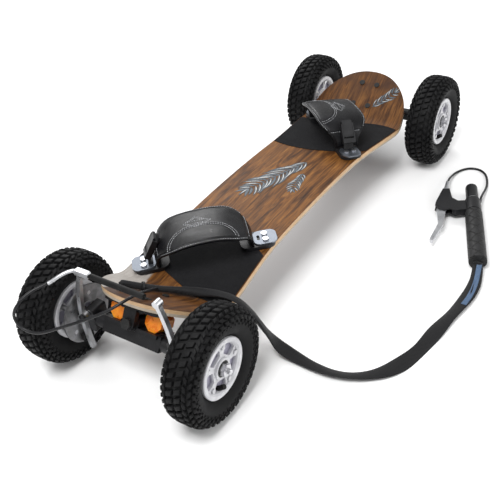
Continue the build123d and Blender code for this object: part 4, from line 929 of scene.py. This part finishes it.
def make_pad(name):
    origin, strap, up, foot = binding_axes(name)
    toe = 1.0 if name == "rear" else -1.0
    long, wide = 112, 56

    def place(s, t, lift):
        across, high = pad_line(s, lift)
        # the toe side stands a little higher than the heel side, as an instep does
        slope = 0.0025 * t * toe * cos(s * pi / 2)
        half = pad_half_width(s)
        return origin + strap * across + up * (high + slope) + foot * (t * half)

    points = []
    for i in range(long + 1):
        s = -1 + 2 * i / long
        for k in range(wide + 1):
            t = -1 + 2 * k / wide
            crown = (1 - abs(t) ** 5) * (1 - abs(s) ** 8)
            fill = noise.noise(Vector((s * 3.1, t * 2.3, toe * 4.0))) * 0.0009
            lift = -PAD_SINK + PAD_CROWN * crown - PAD_SEAM * seam_depth(s, t, toe) + fill
            points.append(place(s, t, lift))
    outer = len(points)
    for i in range(long + 1):
        s = -1 + 2 * i / long
        for k in range(wide + 1):
            t = -1 + 2 * k / wide
            ripple = noise.noise(Vector((s * 4, t * 3, 9.0))) * 0.0008
            sink = PAD_DEPTH * (0.62 + 0.38 * (1 - abs(t) ** 4)) + ripple
            points.append(place(s, t * 0.97, -sink))
    faces = []
    row = wide + 1
    for i in range(long):
        for k in range(wide):
            a = i * row + k
            faces.append((a, a + 1, a + row + 1, a + row))
            b = outer + a
            faces.append((b, b + row, b + row + 1, b + 1))
    for i in range(long):
        a = i * row
        faces.append((a, a + row, outer + a + row, outer + a))
        a = i * row + wide
        faces.append((a, outer + a, outer + a + row, a + row))
    for k in range(wide):
        faces.append((k, outer + k, outer + k + 1, k + 1))
        a = long * row + k
        faces.append((a, a + 1, outer + a + 1, outer + a))
    mesh = mesh_of(name + "_stitched_pad", points, faces)
    face_outward(mesh)
    pad = new_object(name + "_stitched_pad", mesh, MATERIALS["pad_leather"])
    round_edges(pad, 0.0022, 3, radians(50))
    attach(pad, ROOT)
    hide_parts(name + "_binding_pad")

    # stitches: short pale dashes that lie in the seams
    lines = []
    for shift in (0.0, 0.075):
        arc = []
        for k in range(61):
            turn = pi * k / 60
            arc.append((cos(turn) * (ARC_SPAN + shift * 0.6), toe - toe * sin(turn) * (ARC_REACH + shift)))
        lines.append([p for p in arc if abs(p[1]) < EDGE_SEAM])
    for side in (-1, 1):
        lines.append([(side * (SIDE_SEAM + 0.02), -0.88 + 1.76 * k / 60) for k in range(61)])
    lines.append([(-0.62 + 1.24 * k / 120, toe * 0.945) for k in range(121)])
    # a plain stitched lozenge and two bars on the top of the pad
    mid_s, mid_t = BADGE[0], BADGE[1] * toe
    for grow in (1.0, 0.78):
        corners = [(0.13 * grow * cos(pi * k / 2), 0.30 * grow * sin(pi * k / 2)) for k in range(5)]
        lines.append([(mid_s + ds, mid_t + dt) for ds, dt in corners])
    for shift in (-0.25, 0.25):
        lines.append([(mid_s - 0.05, mid_t + shift * 0.3), (mid_s + 0.05, mid_t + shift * 0.3)])
    lines.append([(-0.62 + 1.24 * k / 120, -toe * 0.945) for k in range(121)])
    dashes, dash_faces = [], []
    for line in lines:
        spots = []
        for s, t in line:
            lift = -PAD_SINK + PAD_CROWN * (1 - abs(t) ** 5) * (1 - abs(s) ** 8) + 0.0001
            spots.append(place(s, t, lift))
        run, begin = 0.0, None
        for a, b in zip(spots, spots[1:]):
            size = (b - a).length
            at = 0.0
            while at < size:
                phase = (run + at) % STITCH_PITCH
                if phase < STITCH_LENGTH and begin is None:
                    begin = a.lerp(b, at / size)
                elif phase >= STITCH_LENGTH and begin is not None:
                    stop = a.lerp(b, at / size)
                    middle = (begin + stop) / 2
                    ahead = (stop - begin).normalized()
                    outward = (middle - origin - up * 0.01)
                    outward = (outward - foot * outward.dot(foot)).normalized()
                    side = ahead.cross(outward).normalized()
                    base = len(dashes)
                    for end, thin in ((-1, 0.45), (-0.5, 1.0), (0.5, 1.0), (1, 0.45)):
                        centre = middle + ahead * end * 0.0015
                        for q in range(6):
                            turn = 2 * pi * q / 6
                            rim = side * cos(turn) + outward * sin(turn)
                            dashes.append(centre + rim * THREAD_RADIUS * thin)
                    dash_faces += [tuple(base + v for v in f) for f in tube_faces(4, 6)]
                    begin = None
                at += STITCH_STEP
            run += size
    mesh = mesh_of(name + "_pad_stitches", dashes, dash_faces)
    new_object(name + "_pad_stitches", mesh, STITCH, ROOT)


def stitch_thread():
    s = Surface("stitch_thread", (0.45, 0.46, 0.48), Roughness=0.6)
    dirt = s.noise(300, 3)
    s.color(s.mix(s.steps(dirt, ((0.35, 0.0), (0.65, 1.0))), (0.16, 0.165, 0.175), (0.52, 0.53, 0.55)))
    s.bump(s.noise(2500, 2), 0.3, 0.0001)
    return s.material


STITCH = stitch_thread()
for binding in BINDINGS:
    make_pad(binding)


# ---------------------------------------------------------------- printed art and small trim
def ink(name, tone, gap):
    s = Surface(name, tone, Specular_IOR_Level=0.3)
    worn = s.noise(260, 4, s.place((1, 3, 1)))
    s.color(s.mix(s.steps(worn, ((0.4, 0.0), (0.7, 1.0))), tone, gap))
    s.rough(s.steps(worn, ((0.3, 0.42), (0.7, 0.6))))
    s.bump(worn, 0.1, 0.0001)
    return s.material


INKS = [
    ink("ink_black", (0.010, 0.009, 0.010), (0.035, 0.022, 0.016)),
    ink("ink_slate", (0.085, 0.105, 0.125), (0.04, 0.05, 0.06)),
    ink("ink_white", (0.60, 0.60, 0.58), (0.30, 0.27, 0.24)),
]


INK_LIFT, INK_LAYER = 0.00030, 0.00009


def make_art():
    """Plain overlapping leaf shapes, printed on the deck in place of a picture."""
    points, faces, tones = [], [], []

    def leaf(x, y, heading, long, wide, layer, bend):
        base = len(points)
        count = 9
        for k in range(count):
            f = k / (count - 1)
            half = wide * sin(pi * min(f * 0.92 + 0.06, 1.0)) ** 0.8 * (1 - 0.35 * f)
            turn = heading + bend * (f - 0.3)
            cx, cy = x + long * f * cos(turn), y + long * f * sin(turn)
            for side in (-1, 1):
                px, py = cx - side * half * sin(turn), cy + side * half * cos(turn)
                points.append((px, py, deck_top(px) + INK_LIFT + INK_LAYER * layer))
        for k in range(count - 1):
            a = base + 2 * k
            faces.append((a, a + 2, a + 3, a + 1))
            tones.append(layer)

    def plume(x, y, heading, long, wide, bend, pale):
        c, n = cos(heading), sin(heading)
        leaf(x, y, heading, long, wide, 0, bend)
        leaf(x + 0.002 * c, y + 0.002 * n, heading, long * 0.88, wide * 0.66, 1, bend)
        if pale:
            leaf(x + 0.004 * c, y + 0.004 * n, heading + 0.03, long * 0.72, wide * 0.20, 2, bend)

    def sprig(x0, y0, x1, y1, count, long, wide):
        """Leaflets on both sides of a stem, longest in its middle."""
        heading = Vector((x1 - x0, y1 - y0)).angle_signed(Vector((1, 0)))
        size = sqrt((x1 - x0) ** 2 + (y1 - y0) ** 2)
        for i in range(count):
            f = (i + 0.5) / count
            x, y = x0 + (x1 - x0) * f, y0 + (y1 - y0) * f
            reach = long * (0.45 + 0.55 * sin(pi * (0.15 + 0.8 * f)))
            for side in (1, -1):
                wobble = 0.12 * sin(5.3 * i + side)
                turn = heading + side * (0.62 + 0.35 * f + wobble)
                plume(x, y, turn, reach * (1 + 0.15 * sin(3.1 * i)), wide, -side * 0.35, (i + side) % 3 != 0)
        plume(x0, y0, heading, size, wide * 0.55, 0.0, False)
        for turn in (-0.5, 0.0, 0.5):
            plume(x1, y1, heading + turn, long * 0.6, wide, 0.2, turn == 0.0)

    sprig(0.104, -0.016, -0.036, 0.036, 15, 0.050, 0.0043)
    sprig(0.060, -0.030, 0.000, -0.040, 7, 0.026, 0.0032)
    sprig(0.372, -0.028, 0.412, -0.064, 6, 0.023, 0.0028)
    sprig(0.332, -0.002, 0.352, 0.010, 4, 0.013, 0.0022)
    mesh = mesh_of("printed_leaves", points, faces, False)
    for tone in INKS:
        mesh.materials.append(tone)
    for face, tone in zip(mesh.polygons, tones):
        face.material_index = tone
    made = bpy.data.objects.new("printed_leaves", mesh)
    bpy.context.scene.collection.objects.link(made)
    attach(made, ROOT)


def ring_piece(name, centre, axis, radius, half_width, bulge, material):
    """A rounded band about an axis."""
    axis = axis.normalized()
    side = axis.cross(Vector((0, 0, 1)))
    side = side.normalized() if side.length > 0.1 else Vector((1, 0, 0))
    up = side.cross(axis)
    around, section = 40, 8
    points = []
    for i in range(around):
        turn = 2 * pi * i / around
        out = side * cos(turn) + up * sin(turn)
        for k in range(section):
            part = 2 * pi * k / section
            points.append(centre + out * (radius + bulge * cos(part)) + axis * half_width * sin(part))
    mesh = mesh_of(name, points, tube_faces(around, section, closed_ring=True))
    return new_object(name, mesh, material, ROOT)


def make_trim():
    silver = MATERIALS["silver_alloy"]
    heading = Vector((cos(HANDLE_HEADING), sin(HANDLE_HEADING), 0))
    centre = Vector(on_handle(213.5, 0, 17.4)) * MM
    ring_piece("cap_ring", centre, heading, 0.0126, 0.0016, 0.0006, silver)


make_art()
make_trim()


# ---------------------------------------------------------------- floor and light
def make_stage():
    far = 6
    corners = [(-far, -far, 0), (far, -far, 0), (far, far, 0), (-far, far, 0)]
    mesh = mesh_of("floor", corners, [(0, 1, 2, 3)], False)
    s = Surface("floor", (0.86, 0.86, 0.86), Roughness=0.75)
    s.bump(s.noise(30, 3), 0.02, 0.0005)
    floor = new_object("floor", mesh, s.material)
    world = bpy.data.worlds.new("studio")
    world.use_nodes = True
    background = world.node_tree.nodes["Background"]
    background.inputs["Color"].default_value = (1.0, 1.0, 1.0, 1)
    background.inputs["Strength"].default_value = 0.62
    bpy.context.scene.world = world
    lamps = [
        ("key", (-1.3, -0.2, 2.4), 62, 1.0),
        ("fill", (0.7, -2.4, 1.5), 24, 1.6),
        ("rim", (1.5, 1.7, 1.8), 40, 1.1),
    ]
    for name, place, power, size in lamps:
        data = bpy.data.lights.new(name, "AREA")
        data.energy = power
        data.size = size
        lamp = bpy.data.objects.new(name, data)
        lamp.location = place
        lamp.rotation_euler = (Vector((0, 0, 0.08)) - Vector(place)).to_track_quat("-Z", "Y").to_euler()
        bpy.context.scene.collection.objects.link(lamp)
    bpy.context.scene.view_settings.view_transform = "Standard"


make_stage()
